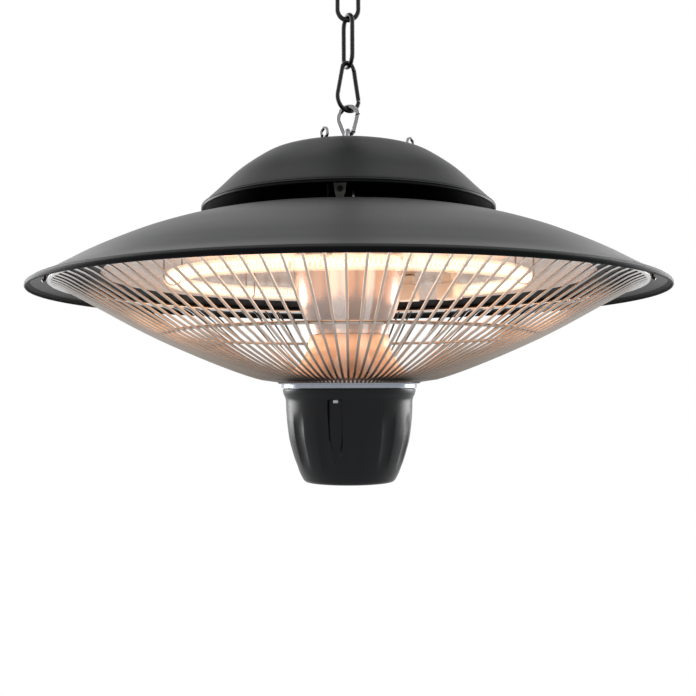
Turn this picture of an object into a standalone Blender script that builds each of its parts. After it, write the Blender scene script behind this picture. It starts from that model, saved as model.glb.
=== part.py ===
# Hanging patio heater: a ring lamp under a spun shade, with a wire guard below it,
# a control cup in the middle, and the chain and hooks that it hangs on.
# Metres, +Z up. The origin is the middle of the ceiling plate's top face, and +Y points
# away from the side that the photographed view shows.

import math

import bpy
import bmesh
from mathutils import Vector

# Gaps and small allowances
clearance = 0.0003
cut_overrun = 0.002
merge_distance = 0.00001
edge_angle = math.radians(35)

# Ceiling plate
plate_radius = 0.030
plate_thickness = 0.003
plate_boss_radius = 0.0075
plate_boss_height = 0.006
plate_socket_roof = 0.0025
plate_screw_circle = 0.020
plate_screw_hole_radius = 0.0022
plate_screw_count = 2

# Ceiling hook
hook_wire_radius = 0.0020
hook_loop_radius = 0.0090
hook_stem_length = 0.0060
hook_tip_angle = math.radians(130)

# Chain links
link_wire_radius = 0.0016
link_length = 0.0390
link_width = 0.0175
lower_link_turn = math.radians(-65.6)

# Black snap hook: narrow end up, gate on the right
black_wire_radius = 0.0013
black_length = 0.0361
black_hinge_end_radius = 0.0050
black_nose_end_radius = 0.0091
black_nose_angle = math.radians(8)
black_gate_radius = 0.0016
black_turn = math.radians(37)

# Chrome snap hook: wide end up, gate on the right
chrome_wire_radius = 0.0015
chrome_length = 0.0233
chrome_hinge_end_radius = 0.0040
chrome_nose_end_radius = 0.0075
chrome_nose_angle = math.radians(12)
chrome_gate_radius = 0.0017
chrome_turn = math.radians(-27)

# Gate hinges, alike on both snap hooks
tab_thickness = 0.0012
tab_radius = 0.0012
tab_reach = 0.0030
gate_heel = 0.0013
pin_radius = 0.00045

# Centre eye, its washer and nut
eye_wire_radius = 0.0016
eye_loop_radius = 0.0050
eye_turn = math.radians(80)
eye_shank_length = 0.0120
washer_radius = 0.0090
washer_thickness = 0.0010
eye_nut_radius = 0.0040
eye_nut_height = 0.0032

# Top cap
cap_radius = 0.1008
cap_dome_height = 0.0405
cap_lip_height = 0.0035
cap_wall = 0.0010
cap_shares = ((0.22, 0.996), (0.377, 0.975), (0.546, 0.881), (0.645, 0.751),
              (0.774, 0.519), (0.893, 0.232), (1.0, 0.0))

# Four eye bolts through the cap, with the pillars around them
bolt_circle = 0.0445
bolt_count = 4
bolt_first_angle = math.radians(-110.3)
bolt_wire_radius = 0.0009
bolt_loop_radius = 0.0031
bolt_loop_turn = math.radians(35)
spacer_radius = 0.0026
upper_spacer_length = 0.0402
lower_spacer_length = 0.0270
bolt_nut_radius = 0.0032
bolt_nut_height = 0.0024
bolt_tail = 0.0015

# Cable gland on the cap, behind the centre eye
gland_offset = 0.0250
gland_radius = 0.0070
gland_height = 0.0100
gland_stem_radius = 0.0045
gland_stem_length = 0.0060
gland_bore_radius = 0.0030

# Shade
shade_radius = 0.2125
shade_dome_height = 0.0535
shade_lip_height = 0.0031
shade_wall = 0.0012
shade_vent_radius = 0.0330
shade_flat_radius = 0.0660
shade_shares = ((0.376, 0.968), (0.447, 0.912), (0.565, 0.789), (0.682, 0.628),
                (0.847, 0.325), (0.946, 0.090), (1.0, 0.0))

# Support plate under the shade's vent
support_reach = 0.0520
support_arm_width = 0.0130
support_thickness = 0.0020

# Terminal block on the shade's flat top
block_width = 0.0085
block_depth = 0.0070
block_height = 0.0130
block_x = -0.0055
block_y = -0.0420

# Upper reflector: a dish with a column down its middle
reflector_inset = 0.0465
reflector_radius = shade_radius - reflector_inset
reflector_wall = 0.0008
reflector_land_inner = 0.0400
reflector_land_outer = 0.0500
reflector_trough_rise = 0.0040
reflector_rim_drop = 0.0124
reflector_column_length = 0.0513
reflector_waist_radius = 0.0274
dish_shares = ((0.20, 0.75), (0.45, 1.0), (0.70, 0.80), (0.87, 0.20))
column_shares = ((0.866, 0.125), (0.55, 0.585), (0.12, 0.846), (0.0, 1.0))

# Ring lamp
lamp_inset = 0.0450
lamp_radius = reflector_radius - lamp_inset
lamp_tube_radius = 0.0048
lamp_tube_wall = 0.0010
lamp_drop = 0.0140
lamp_gap_turn = math.radians(58)
lamp_gap_half = math.radians(13)
lamp_cap_length = 0.0170
lamp_cap_width = 0.0130
lamp_cap_height = 0.0130
clip_wire_radius = 0.0008
lamp_clip_turns = (math.radians(-160), math.radians(-20), math.radians(130))

# Filament wound inside the lamp
coil_curls = 16
coil_radius = 0.0023
coil_wire_radius = 0.0004
coil_points_per_curl = 8

# Wire guard
guard_inset = 0.0148
guard_radius = shade_radius - guard_inset
guard_ring_half = 0.0020
guard_wire_count = 112
guard_wire_width = 0.0018
guard_first_wire_turn = math.radians(-90.4)
guard_depth = 0.0643
guard_shares = ((0.31, 0.222), (0.0, 0.0))
middle_ring_inset = 0.0687
middle_ring_radius = guard_radius - middle_ring_inset
middle_ring_wire_radius = 0.0011

# Guard clips under the shade's rim
guard_clip_turns = tuple(math.radians(turn) for turn in (-30, 30, 150, -150))
guard_clip_thickness = 0.0010
guard_clip_width = 0.0030
guard_clip_flange = 0.0060

# Centre tube and its nut
tube_radius = 0.0050
tube_bore_radius = 0.0034
tube_head_radius = 0.0090
tube_head_height = 0.0040
tube_tail = 0.0070
tube_nut_radius = 0.0085
tube_nut_height = 0.0045

# Control cup
cup_radius = 0.0458
cup_height = 0.0640
cup_wall = 0.0022
cup_floor = 0.0025
cup_shares = ((1.0, 0.0), (0.952, 0.109), (0.948, 0.24), (0.925, 0.43), (0.871, 0.63),
              (0.765, 0.86), (0.715, 0.945), (0.620, 1.0))
cup_inner_depth_shares = (0.0, 0.43, 0.86)
flute_count = 12
flute_depth = 0.0009
flute_top_share = 0.34
flute_bottom_share = 0.75
first_flute_turn = math.radians(-82.5)
channel_count = 3
first_channel_turn = math.radians(-102.6)
channel_inset = 0.0038
channel_circle = cup_radius - channel_inset
channel_radius = 0.0045
channel_top_depth = 0.0070
channel_step = 0.0004
channel_column_shares = (-1.0, -0.7, -0.25, 0.25, 0.7, 1.0)
cup_screw_inset = 0.0055
cup_screw_circle = cup_radius - cup_screw_inset
cup_screw_head_radius = 0.0023
cup_screw_head_height = 0.0018
cup_screw_radius = 0.0013

# Collar that the guard's wires end on
collar_overhang = 0.0017
collar_top_radius = cup_radius + collar_overhang
collar_lap = 0.0002
collar_bottom_radius = cup_radius + collar_lap
collar_height = 0.0047
collar_wall = 0.0010
collar_rise = 0.0010

# Lower reflector standing in the collar
cone_foot_inset = 0.0023
cone_foot_radius = cup_radius - cone_foot_inset
cone_wall = 0.0008
cone_shares = ((0.03, 0.90), (0.12, 0.68), (0.31, 0.515), (0.68, 0.305), (1.0, 0.0))

# Board, window and button inside the cup
board_thickness = 0.0016
board_depth_share = 0.80
window_offset = 0.0150
window_radius = 0.0035
window_rim_radius = 0.0048
button_radius = 0.0060
button_skirt_radius = 0.0078
button_skirt_height = 0.0015
spring_radius = 0.0032
spring_wire_radius = 0.0004
spring_curls = 3
spring_points_per_curl = 8

# Facets round each turned piece
fine_steps = 36
shell_steps = 32
small_steps = 16
plate_steps = 24
hole_steps = 8
lamp_steps = 30
lamp_sides = 8
ring_steps = 36
arc_points_each = 9
hook_loop_points = 16
bolt_loop_points = 12
hex_steps = 6
cup_steps = 32

# Heights, from the ceiling down to the chain and hooks
boss_bottom_z = -(plate_thickness + plate_boss_height)
hook_top_z = boss_bottom_z - hook_stem_length
hook_bottom_z = hook_top_z - 2 * hook_loop_radius


def hung_from(wire_z, wire_radius, next_radius):
    return wire_z + wire_radius + next_radius + clearance


upper_link_z = hung_from(hook_bottom_z, hook_wire_radius, link_wire_radius)
upper_link_bottom_z = upper_link_z - (link_length - 2 * link_wire_radius)
lower_link_z = hung_from(upper_link_bottom_z, link_wire_radius, link_wire_radius)
lower_link_bottom_z = lower_link_z - (link_length - 2 * link_wire_radius)
black_z = hung_from(lower_link_bottom_z, link_wire_radius, black_wire_radius)
black_bottom_z = black_z - (black_length - 2 * black_wire_radius)
chrome_z = hung_from(black_bottom_z, black_wire_radius, chrome_wire_radius)
chrome_bottom_z = chrome_z - (chrome_length - 2 * chrome_wire_radius)
eye_top_z = hung_from(chrome_bottom_z, chrome_wire_radius, eye_wire_radius)
eye_z = eye_top_z - eye_loop_radius
eye_foot_z = eye_z - eye_loop_radius - eye_wire_radius
cap_top_z = eye_foot_z - 2 * clearance - washer_thickness
cap_edge_z = cap_top_z - cap_dome_height


def offset_path(path, distance):
    # Moves an open path sideways, to its right as it runs, with mitred corners
    moved = []
    for index, point in enumerate(path):
        before = Vector(path[max(index - 1, 0)])
        after = Vector(path[min(index + 1, len(path) - 1)])
        here = Vector(point)
        first = (here - before) if index > 0 else (after - here)
        second = (after - here) if index < len(path) - 1 else (here - before)
        first.normalize()
        second.normalize()
        first_side = Vector((first.y, -first.x))
        second_side = Vector((second.y, -second.x))
        bisector = (first_side + second_side).normalized()
        reach = distance / max(bisector.dot(first_side), 0.5)
        moved.append(tuple(here + bisector * reach))
    return moved


def sheet_outline(path, wall):
    # Closed outline of a sheet that runs along the path, with its wall on the right
    return list(path) + list(reversed(offset_path(path, wall)))


def height_on(path, radius):
    # Height of a path of (radius, height) points at one radius
    for (r0, z0), (r1, z1) in zip(path, path[1:]):
        if min(r0, r1) <= radius <= max(r0, r1) and r0 != r1:
            return z0 + (z1 - z0) * (radius - r0) / (r1 - r0)
    nearest = min(path, key=lambda point: abs(point[0] - radius))
    return nearest[1]


def height_in_facets(path, radius, steps):
    # Lowest height of the faceted surface at one radius, on a path that falls outwards
    return height_on(path, radius / math.cos(math.pi / steps))


def radius_on(path, height):
    # Radius of a path at one height
    return height_on([(z, r) for r, z in path], height)


def slope_on(path, radius):
    step = merge_distance
    rise = height_on(path, radius + step) - height_on(path, radius - step)
    return math.atan(rise / (2 * step))


def inside(radius, steps):
    # Largest radius that fits in a faceted bore with clearance
    return radius * math.cos(math.pi / steps) - clearance


def around(radius, steps):
    # Corner radius of a faceted bore that clears a round piece
    return (radius + clearance) / math.cos(math.pi / steps)


# Cap and shade profiles, as (radius, height) from the centre outwards
cap_path = [(around(eye_wire_radius, shell_steps), cap_edge_z + cap_dome_height)]
cap_path += [(cap_radius * across, cap_edge_z + cap_dome_height * up) for across, up in cap_shares]
cap_path += [(cap_radius, cap_edge_z - cap_lip_height)]
cap_under = offset_path(cap_path, cap_wall)
spacer_top_z = height_in_facets(cap_under, bolt_circle + spacer_radius, shell_steps) - clearance
shade_top_z = spacer_top_z - upper_spacer_length - clearance
shade_edge_z = shade_top_z - shade_dome_height
shade_path = [(shade_vent_radius, shade_top_z), (shade_flat_radius, shade_top_z)]
shade_path += [(shade_radius * across, shade_edge_z + shade_dome_height * up)
               for across, up in shade_shares]
shade_path += [(shade_radius, shade_edge_z - shade_lip_height)]
shade_under = offset_path(shade_path, shade_wall)

# Heights under the shade
support_top_z = shade_top_z - shade_wall - clearance
lower_spacer_top_z = support_top_z - support_thickness - clearance
reflector_land_z = lower_spacer_top_z - lower_spacer_length - clearance
column_bottom_z = reflector_land_z - reflector_column_length
lamp_z = reflector_land_z - lamp_drop
guard_seat_radius = guard_radius + guard_ring_half
guard_brim_z = height_in_facets(shade_under, guard_seat_radius, fine_steps)
guard_ring_z = guard_brim_z - clearance - guard_ring_half
guard_end_z = guard_ring_z - guard_depth
guard_end_radius = around(collar_top_radius, shell_steps)
collar_top_z = guard_end_z + collar_rise
collar_floor_z = collar_top_z - collar_height + collar_wall
collar_under_z = collar_top_z - collar_height
cup_top_z = collar_under_z - clearance
cup_bottom_z = cup_top_z - cup_height
channel_top_z = cup_top_z - channel_top_depth
board_under_z = cup_top_z - board_depth_share * cup_height

# Reflector, lower reflector and guard profiles
dish_width = reflector_radius - reflector_land_outer
dish_path = [(reflector_land_outer, reflector_land_z)]
dish_path += [(reflector_land_outer + dish_width * across,
               reflector_land_z + reflector_trough_rise * up) for across, up in dish_shares]
dish_path += [(reflector_radius, reflector_land_z - reflector_rim_drop)]
column_path = [(reflector_waist_radius + (reflector_land_inner - reflector_waist_radius) * across,
                reflector_land_z - reflector_column_length * down)
               for across, down in column_shares]
reflector_path = list(reversed(column_path)) + [(reflector_land_inner, reflector_land_z)]
reflector_path += dish_path
reflector_under = offset_path(reflector_path, reflector_wall)
cone_foot_z = collar_floor_z + cone_wall + clearance
cone_top_z = column_bottom_z - clearance
cone_top_radius = reflector_waist_radius
cone_path = [(cone_top_radius, cone_top_z)]
cone_path += [(cone_top_radius + (cone_foot_radius - cone_top_radius) * across,
               cone_foot_z + (cone_top_z - cone_foot_z) * up) for across, up in cone_shares]
guard_root_radius = guard_radius - guard_ring_half
guard_path = [(guard_root_radius, guard_ring_z)]
guard_path += [(guard_end_radius + (guard_root_radius - guard_end_radius) * across,
                guard_end_z + guard_depth * up) for across, up in guard_shares]

places = {}


def clear_scene():
    for old in list(bpy.data.objects):
        bpy.data.objects.remove(old, do_unlink=True)


def material(name, color, roughness, metallic=0.0, glow=0.0, alpha=1.0):
    made = bpy.data.materials.new(name)
    made.use_nodes = True
    shader = made.node_tree.nodes["Principled BSDF"]
    shader.inputs["Base Color"].default_value = (*color, 1.0)
    shader.inputs["Roughness"].default_value = roughness
    shader.inputs["Metallic"].default_value = metallic
    shader.inputs["Alpha"].default_value = alpha
    if glow:
        shader.inputs["Emission Color"].default_value = (*color, 1.0)
        shader.inputs["Emission Strength"].default_value = glow
    return made


def carrier(name, place, parent=None):
    # An empty on a joint's axis, which the pieces of one moving body are parented to
    empty = bpy.data.objects.new(name, None)
    bpy.context.collection.objects.link(empty)
    places[name] = Vector(place)
    empty.location = places[name]
    if parent:
        empty.parent = parent
        empty.location = places[name] - places[parent.name]
    return empty


def put(thing, parent, place=(0, 0, 0), turn=0.0):
    thing.parent = parent
    thing.location = Vector(place) - places[parent.name]
    thing.rotation_euler = (0, 0, turn)
    return thing


def add_mesh(name, bm, finish, smooth=True):
    bmesh.ops.remove_doubles(bm, verts=bm.verts, dist=merge_distance)
    bmesh.ops.recalc_face_normals(bm, faces=bm.faces)
    mesh = bpy.data.meshes.new(name)
    bm.to_mesh(mesh)
    bm.free()
    if smooth:
        mesh.shade_smooth()
        mesh.set_sharp_from_angle(angle=edge_angle)
    if finish:
        mesh.materials.append(finish)
    made = bpy.data.objects.new(name, mesh)
    bpy.context.collection.objects.link(made)
    return made


def turned_bmesh(outline, steps):
    bm = bmesh.new()
    verts = [bm.verts.new((radius, 0, height)) for radius, height in outline]
    edges = [bm.edges.new(pair) for pair in zip(verts, verts[1:])]
    if outline[0][0] or outline[-1][0]:
        edges.append(bm.edges.new((verts[-1], verts[0])))
    bmesh.ops.spin(bm, geom=verts + edges, axis=(0, 0, 1), cent=(0, 0, 0),
                   angle=math.tau, steps=steps, use_merge=True)
    bmesh.ops.remove_doubles(bm, verts=bm.verts, dist=merge_distance)
    bmesh.ops.recalc_face_normals(bm, faces=bm.faces)
    return bm


def turned(name, outline, steps, finish):
    return add_mesh(name, turned_bmesh(outline, steps), finish)


def sleeve_outline(outer, inner, bottom, top):
    return [(outer, bottom), (outer, top), (inner, top), (inner, bottom)]


def wire_curve(name, points, radius, finish, closed=False, resolution=1):
    curve = bpy.data.curves.new(name, "CURVE")
    curve.dimensions = "3D"
    spline = curve.splines.new("POLY")
    spline.points.add(len(points) - 1)
    for slot, point in zip(spline.points, points):
        slot.co = (*point, 1)
    spline.use_cyclic_u = closed
    spline.use_smooth = True
    curve.bevel_depth = radius
    curve.bevel_resolution = resolution
    curve.use_fill_caps = True
    if finish:
        curve.materials.append(finish)
    made = bpy.data.objects.new(name, curve)
    bpy.context.collection.objects.link(made)
    return made


def wire_as_mesh(name, points, radius, finish, resolution=1):
    # The same wire as a mesh, so that it can be cut and joined
    guide = wire_curve(name + "_guide", points, radius, finish, resolution=resolution)
    bpy.context.view_layer.update()
    mesh = bpy.data.meshes.new_from_object(guide.evaluated_get(bpy.context.evaluated_depsgraph_get()))
    bpy.data.objects.remove(guide, do_unlink=True)
    bm = bmesh.new()
    bm.from_mesh(mesh)
    bpy.data.meshes.remove(mesh)
    return add_mesh(name, bm, finish)


def combine(target, tool, operation):
    tool.hide_render = True
    tool.display_type = "WIRE"
    change = target.modifiers.new(operation.title(), "BOOLEAN")
    change.operation = operation
    change.solver = "EXACT"
    change.object = tool
    return target


def prism(name, outline, thickness, finish, across="Y"):
    # A flat outline given a thickness, half to each side: drawn in XZ, or in XY with across="Z"
    bm = bmesh.new()
    if across == "Y":
        verts = [bm.verts.new((x, -thickness / 2, z)) for x, z in outline]
        way = Vector((0, thickness, 0))
    else:
        verts = [bm.verts.new((x, y, -thickness / 2)) for x, y in outline]
        way = Vector((0, 0, thickness))
    face = bm.faces.new(verts)
    grown = bmesh.ops.extrude_face_region(bm, geom=[face])
    new_verts = [item for item in grown["geom"] if isinstance(item, bmesh.types.BMVert)]
    bmesh.ops.translate(bm, verts=new_verts, vec=way)
    return add_mesh(name, bm, finish, smooth=False)


def cylinder_tool(name, radius, length, steps=hole_steps):
    half = length / 2
    outline = [(0, -half), (radius, -half), (radius, half), (0, half)]
    return turned(name, outline, steps, None)


def drill(target, parent, radius, length, place):
    tool = put(cylinder_tool(target.name + "_drill", radius, length), parent, place)
    return combine(target, tool, "DIFFERENCE")


def circle_places(radius, count, first_turn):
    spots = []
    for index in range(count):
        turn = first_turn + math.tau * index / count
        spots.append((radius * math.cos(turn), radius * math.sin(turn), turn))
    return spots


def arc_points(centre, radius, start, end, count):
    points = []
    for index in range(count):
        turn = start + (end - start) * index / (count - 1)
        points.append((centre[0] + radius * math.cos(turn), centre[1] + radius * math.sin(turn)))
    return points


# Pieces that carry the heater
def make_ceiling_plate(parent, finish):
    socket = around(hook_wire_radius, plate_steps)
    outline = [(0, 0), (plate_radius, 0), (plate_radius, -plate_thickness),
               (plate_boss_radius, -plate_thickness), (plate_boss_radius, boss_bottom_z),
               (socket, boss_bottom_z), (socket, -plate_socket_roof), (0, -plate_socket_roof)]
    plate = put(turned("ceiling_plate", outline, plate_steps, finish), parent)
    length = plate_thickness + 2 * cut_overrun
    for x, y, _ in circle_places(plate_screw_circle, plate_screw_count, 0):
        drill(plate, parent, plate_screw_hole_radius, length, (x, y, -plate_thickness / 2))


def make_ceiling_hook(parent, finish):
    # Stem up into the plate's boss, then a loop in the YZ plane that stops short of the stem
    loop_z = hook_top_z - hook_loop_radius
    stem_top_z = -plate_socket_roof - clearance
    stem = [(0, stem_top_z), (0, (stem_top_z + hook_top_z) / 2)]
    loop = arc_points((0, loop_z), hook_loop_radius, math.pi / 2, hook_tip_angle - math.tau,
                      hook_loop_points)
    points = [(0, along, height) for along, height in stem + loop]
    put(wire_curve("ceiling_hook", points, hook_wire_radius, finish), parent)


def make_link(name, parent, top_z, turn, finish):
    half = link_width / 2 - link_wire_radius
    bottom = -(link_length - 2 * link_wire_radius) + half
    path = arc_points((0, -half), half, 0, math.pi, arc_points_each)
    path += arc_points((0, bottom), half, math.pi, math.tau, arc_points_each)
    points = [(x, 0, z) for x, z in path]
    link = wire_curve(name, points, link_wire_radius, finish, closed=True)
    put(link, parent, (0, 0, top_z), turn)


class SnapShape:
    # Pear outline of a snap hook in its own plane, from its top wire's centre. It is drawn
    # with its hinge end up, and turned over when its wide end hangs up.

    def __init__(self, length, wire_radius, hinge_end, nose_end, nose_angle, gate_radius, over):
        self.wire_radius = wire_radius
        self.gate_radius = gate_radius
        self.drop = length - 2 * wire_radius
        self.over = over
        slope = math.asin((nose_end - hinge_end) / (self.drop - hinge_end - nose_end))
        hinge_centre = (0, -hinge_end)
        nose_centre = (0, nose_end - self.drop)
        start = slope + tab_reach / hinge_end
        path = arc_points(hinge_centre, hinge_end, start, math.pi - slope, arc_points_each)
        path += arc_points(nose_centre, nose_end, math.pi - slope, math.tau - nose_angle,
                           arc_points_each + arc_points_each // 2)
        hinge = (hinge_end * math.cos(slope), hinge_end * math.sin(slope) - hinge_end)
        self.path = [self.turn_over(point) for point in path]
        self.hinge = self.turn_over(hinge)
        self.nose = self.path[-1]
        nose_way = self.turn_over((math.sin(nose_angle), math.cos(nose_angle)), way=True)
        reach = self.nose - self.hinge
        tilt = (-nose_way).angle(reach)
        self.gate_way = reach.normalized()
        self.gate_reach = reach.length - clearance - 2 * gate_radius * math.tan(tilt)

    def turn_over(self, point, way=False):
        if not self.over:
            return Vector(point)
        shift = 0 if way else self.drop
        return Vector((point[0], -shift - point[1]))

    def hinge_place(self, top_z, turn):
        side, up = self.hinge
        return Vector((side * math.cos(turn), side * math.sin(turn), top_z + up))


def pin_along_y(name, radius, length, finish=None):
    half = length / 2
    bm = turned_bmesh([(0, -half), (radius, -half), (radius, half), (0, half)], hole_steps)
    for vert in bm.verts:
        vert.co = (vert.co.x, -vert.co.z, vert.co.y)
    return add_mesh(name, bm, finish)


def make_snap_hook(name, shape, parent, top_z, turn, finish):
    points = [(side, 0, up) for side, up in shape.path]
    body = wire_as_mesh(name, points, shape.wire_radius, finish)
    start = shape.path[0]
    along = (start - shape.hinge).normalized()
    heel = math.atan2(-along.y, -along.x)
    outline = arc_points(shape.hinge, tab_radius, heel - math.pi / 2, heel + math.pi / 2,
                         arc_points_each)
    across = Vector((-along.y, along.x)) * tab_radius
    root = start + along * shape.wire_radius
    outline += [tuple(root - across), tuple(root + across)]
    tab = prism(name + "_tab", outline, tab_thickness, finish)
    combine(body, put(tab, parent, (0, 0, top_z), turn), "UNION")
    hole = pin_along_y(name + "_hole", around(pin_radius, hole_steps),
                       tab_thickness + 2 * cut_overrun)
    combine(body, put(hole, parent, shape.hinge_place(top_z, turn), turn), "DIFFERENCE")
    put(body, parent, (0, 0, top_z), turn)


def make_gate(name, shape, parent, turn, finish):
    # A round bar from the hinge to the nose, slotted at its heel to straddle the hook's tab.
    # Its parent empty stands on the hinge's axis.
    along = shape.gate_way
    hinge_place = places[parent.name]
    ends = (-along * gate_heel, along * shape.gate_reach)
    points = [(spot.x, 0, spot.y) for spot in ends]
    gate = wire_as_mesh(name, points, shape.gate_radius, finish, resolution=2)
    slot_start = -along * (gate_heel + cut_overrun)
    slot_end = along * (tab_radius + clearance)
    side = Vector((-along.y, along.x)) * (shape.gate_radius + cut_overrun)
    corners = (slot_start - side, slot_end - side, slot_end + side, slot_start + side)
    slot = prism(name + "_slot", [tuple(corner) for corner in corners],
                 tab_thickness + 2 * clearance, None)
    combine(gate, put(slot, parent, hinge_place, turn), "DIFFERENCE")
    hole = pin_along_y(name + "_hole", around(pin_radius, hole_steps),
                       2 * (shape.gate_radius + cut_overrun))
    combine(gate, put(hole, parent, hinge_place, turn), "DIFFERENCE")
    put(gate, parent, hinge_place, turn)


def make_gate_pin(name, shape, parent, top_z, turn, finish):
    pin = pin_along_y(name, pin_radius, 2 * shape.gate_radius, finish)
    put(pin, parent, shape.hinge_place(top_z, turn), turn)


def bent_eye_points(loop_radius, wire_radius, shank_length, loop_points):
    # An eye bent from wire: a shank up from below, then a loop that stops short of the shank.
    # Heights run from the loop's centre, in the XZ plane.
    mouth = (2 * wire_radius + clearance) / loop_radius
    entry = wire_radius / loop_radius
    shank_top = -loop_radius - wire_radius
    points = [(0, shank_top - shank_length), (0, shank_top)]
    points += arc_points((0, 0), loop_radius, entry - math.pi / 2,
                         math.tau - math.pi / 2 - mouth, loop_points)
    return [(x, 0, z) for x, z in points]


def make_centre_eye(parent, steel):
    points = bent_eye_points(eye_loop_radius, eye_wire_radius, eye_shank_length,
                             hook_loop_points)
    put(wire_curve("centre_eye", points, eye_wire_radius, steel), parent, (0, 0, eye_z), eye_turn)
    bore = around(eye_wire_radius, shell_steps)
    washer_bottom = cap_top_z + clearance
    washer = sleeve_outline(washer_radius, bore, washer_bottom, washer_bottom + washer_thickness)
    put(turned("eye_washer", washer, small_steps, steel), parent)
    nut_top = height_on(cap_under, bore) - clearance
    nut = sleeve_outline(eye_nut_radius, around(eye_wire_radius, hex_steps),
                         nut_top - eye_nut_height, nut_top)
    put(turned("eye_nut", nut, hex_steps, steel), parent)


def make_top_cap(parent, finish):
    cap = put(turned("top_cap", sheet_outline(cap_path, cap_wall), shell_steps, finish), parent)
    length = cap_dome_height
    for x, y, _ in circle_places(bolt_circle, bolt_count, bolt_first_angle):
        drill(cap, parent, around(bolt_wire_radius, hole_steps), length, (x, y, cap_top_z))
    drill(cap, parent, around(gland_stem_radius, hole_steps), length, (0, gland_offset, cap_top_z))


def make_cable_gland(parent, finish):
    seat = height_on(cap_path, gland_offset - gland_radius) + clearance
    outline = [(gland_radius, seat), (gland_radius, seat + gland_height / 2),
               (gland_stem_radius, seat + gland_height), (gland_bore_radius, seat + gland_height),
               (gland_bore_radius, seat - gland_stem_length),
               (gland_stem_radius, seat - gland_stem_length), (gland_stem_radius, seat)]
    gland = turned("cable_gland", outline, small_steps, finish)
    put(gland, parent, (0, gland_offset, 0))


def make_eye_bolts(parent, steel, dark):
    foot_z = height_on(cap_path, bolt_circle - 2 * bolt_wire_radius) + clearance
    loop_z = foot_z + bolt_wire_radius + bolt_loop_radius
    nut_top = reflector_land_z - reflector_wall - clearance
    nut_bottom = nut_top - bolt_nut_height
    shank_length = foot_z - bolt_wire_radius - nut_bottom + bolt_tail
    bore = around(bolt_wire_radius, small_steps)
    for index, (x, y, turn) in enumerate(circle_places(bolt_circle, bolt_count, bolt_first_angle)):
        tag = f"_{index + 1}"
        points = bent_eye_points(bolt_loop_radius, bolt_wire_radius, shank_length,
                                 bolt_loop_points)
        bolt = wire_curve("eye_bolt" + tag, points, bolt_wire_radius, steel)
        put(bolt, parent, (x, y, loop_z), turn + bolt_loop_turn)
        upper = sleeve_outline(spacer_radius, bore, spacer_top_z - upper_spacer_length,
                               spacer_top_z)
        put(turned("upper_spacer" + tag, upper, small_steps // 2, dark), parent, (x, y, 0))
        lower = sleeve_outline(spacer_radius, bore, lower_spacer_top_z - lower_spacer_length,
                               lower_spacer_top_z)
        put(turned("lower_spacer" + tag, lower, small_steps // 2, steel), parent, (x, y, 0))
        nut = sleeve_outline(bolt_nut_radius, around(bolt_wire_radius, hex_steps), nut_bottom,
                             nut_top)
        put(turned("reflector_nut" + tag, nut, hex_steps, steel), parent, (x, y, 0), turn)


# Shade, reflectors and what holds them
def make_shade(parent, finish):
    shade = put(turned("shade", sheet_outline(shade_path, shade_wall), fine_steps, finish), parent)
    for x, y, _ in circle_places(bolt_circle, bolt_count, bolt_first_angle):
        drill(shade, parent, around(bolt_wire_radius, hole_steps), shade_wall + 2 * cut_overrun,
              (x, y, shade_top_z - shade_wall / 2))


def make_support_cross(parent, steel):
    half = support_arm_width / 2
    outline = []
    for index in range(bolt_count):
        turn = math.tau * index / bolt_count
        way = Vector((math.cos(turn), math.sin(turn)))
        side = Vector((-way.y, way.x))
        outline += [tuple(way * support_reach - side * half),
                    tuple(way * support_reach + side * half),
                    tuple(way * half + side * half)]
    middle_z = support_top_z - support_thickness / 2
    cross = prism("support_cross", outline, support_thickness, steel, across="Z")
    put(cross, parent, (0, 0, middle_z), bolt_first_angle)
    length = support_thickness + 2 * cut_overrun
    for x, y, _ in circle_places(bolt_circle, bolt_count, bolt_first_angle):
        drill(cross, parent, around(bolt_wire_radius, hole_steps), length, (x, y, middle_z))
    drill(cross, parent, around(tube_radius, hole_steps), length, (0, 0, middle_z))


def make_terminal_block(parent, finish):
    half = block_width / 2
    bottom = shade_top_z + clearance
    outline = [(-half, bottom), (half, bottom), (half, bottom + block_height),
               (-half, bottom + block_height)]
    put(prism("terminal_block", outline, block_depth, finish), parent, (block_x, block_y, 0))


def make_reflectors(parent, polished):
    dish = turned("upper_reflector", sheet_outline(reflector_path, reflector_wall), shell_steps,
                  polished)
    put(dish, parent)
    for x, y, _ in circle_places(bolt_circle, bolt_count, bolt_first_angle):
        drill(dish, parent, around(bolt_wire_radius, hole_steps),
              reflector_wall + 2 * cut_overrun, (x, y, reflector_land_z - reflector_wall / 2))
    cone = turned("lower_reflector", sheet_outline(cone_path, cone_wall), shell_steps, polished)
    put(cone, parent)


def make_centre_tube(parent, steel):
    head_z = support_top_z + clearance
    foot_z = collar_under_z - clearance - tube_nut_height - tube_tail
    outline = [(tube_head_radius, head_z), (tube_head_radius, head_z + tube_head_height),
               (tube_bore_radius, head_z + tube_head_height), (tube_bore_radius, foot_z),
               (tube_radius, foot_z), (tube_radius, head_z)]
    put(turned("centre_tube", outline, small_steps, steel), parent)
    nut_top = collar_under_z - clearance
    nut = sleeve_outline(tube_nut_radius, around(tube_radius, hex_steps),
                         nut_top - tube_nut_height, nut_top)
    put(turned("tube_nut", nut, hex_steps, steel), parent)


# Lamp
def ring_way(turn):
    return Vector((math.cos(turn), math.sin(turn), 0))


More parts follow.
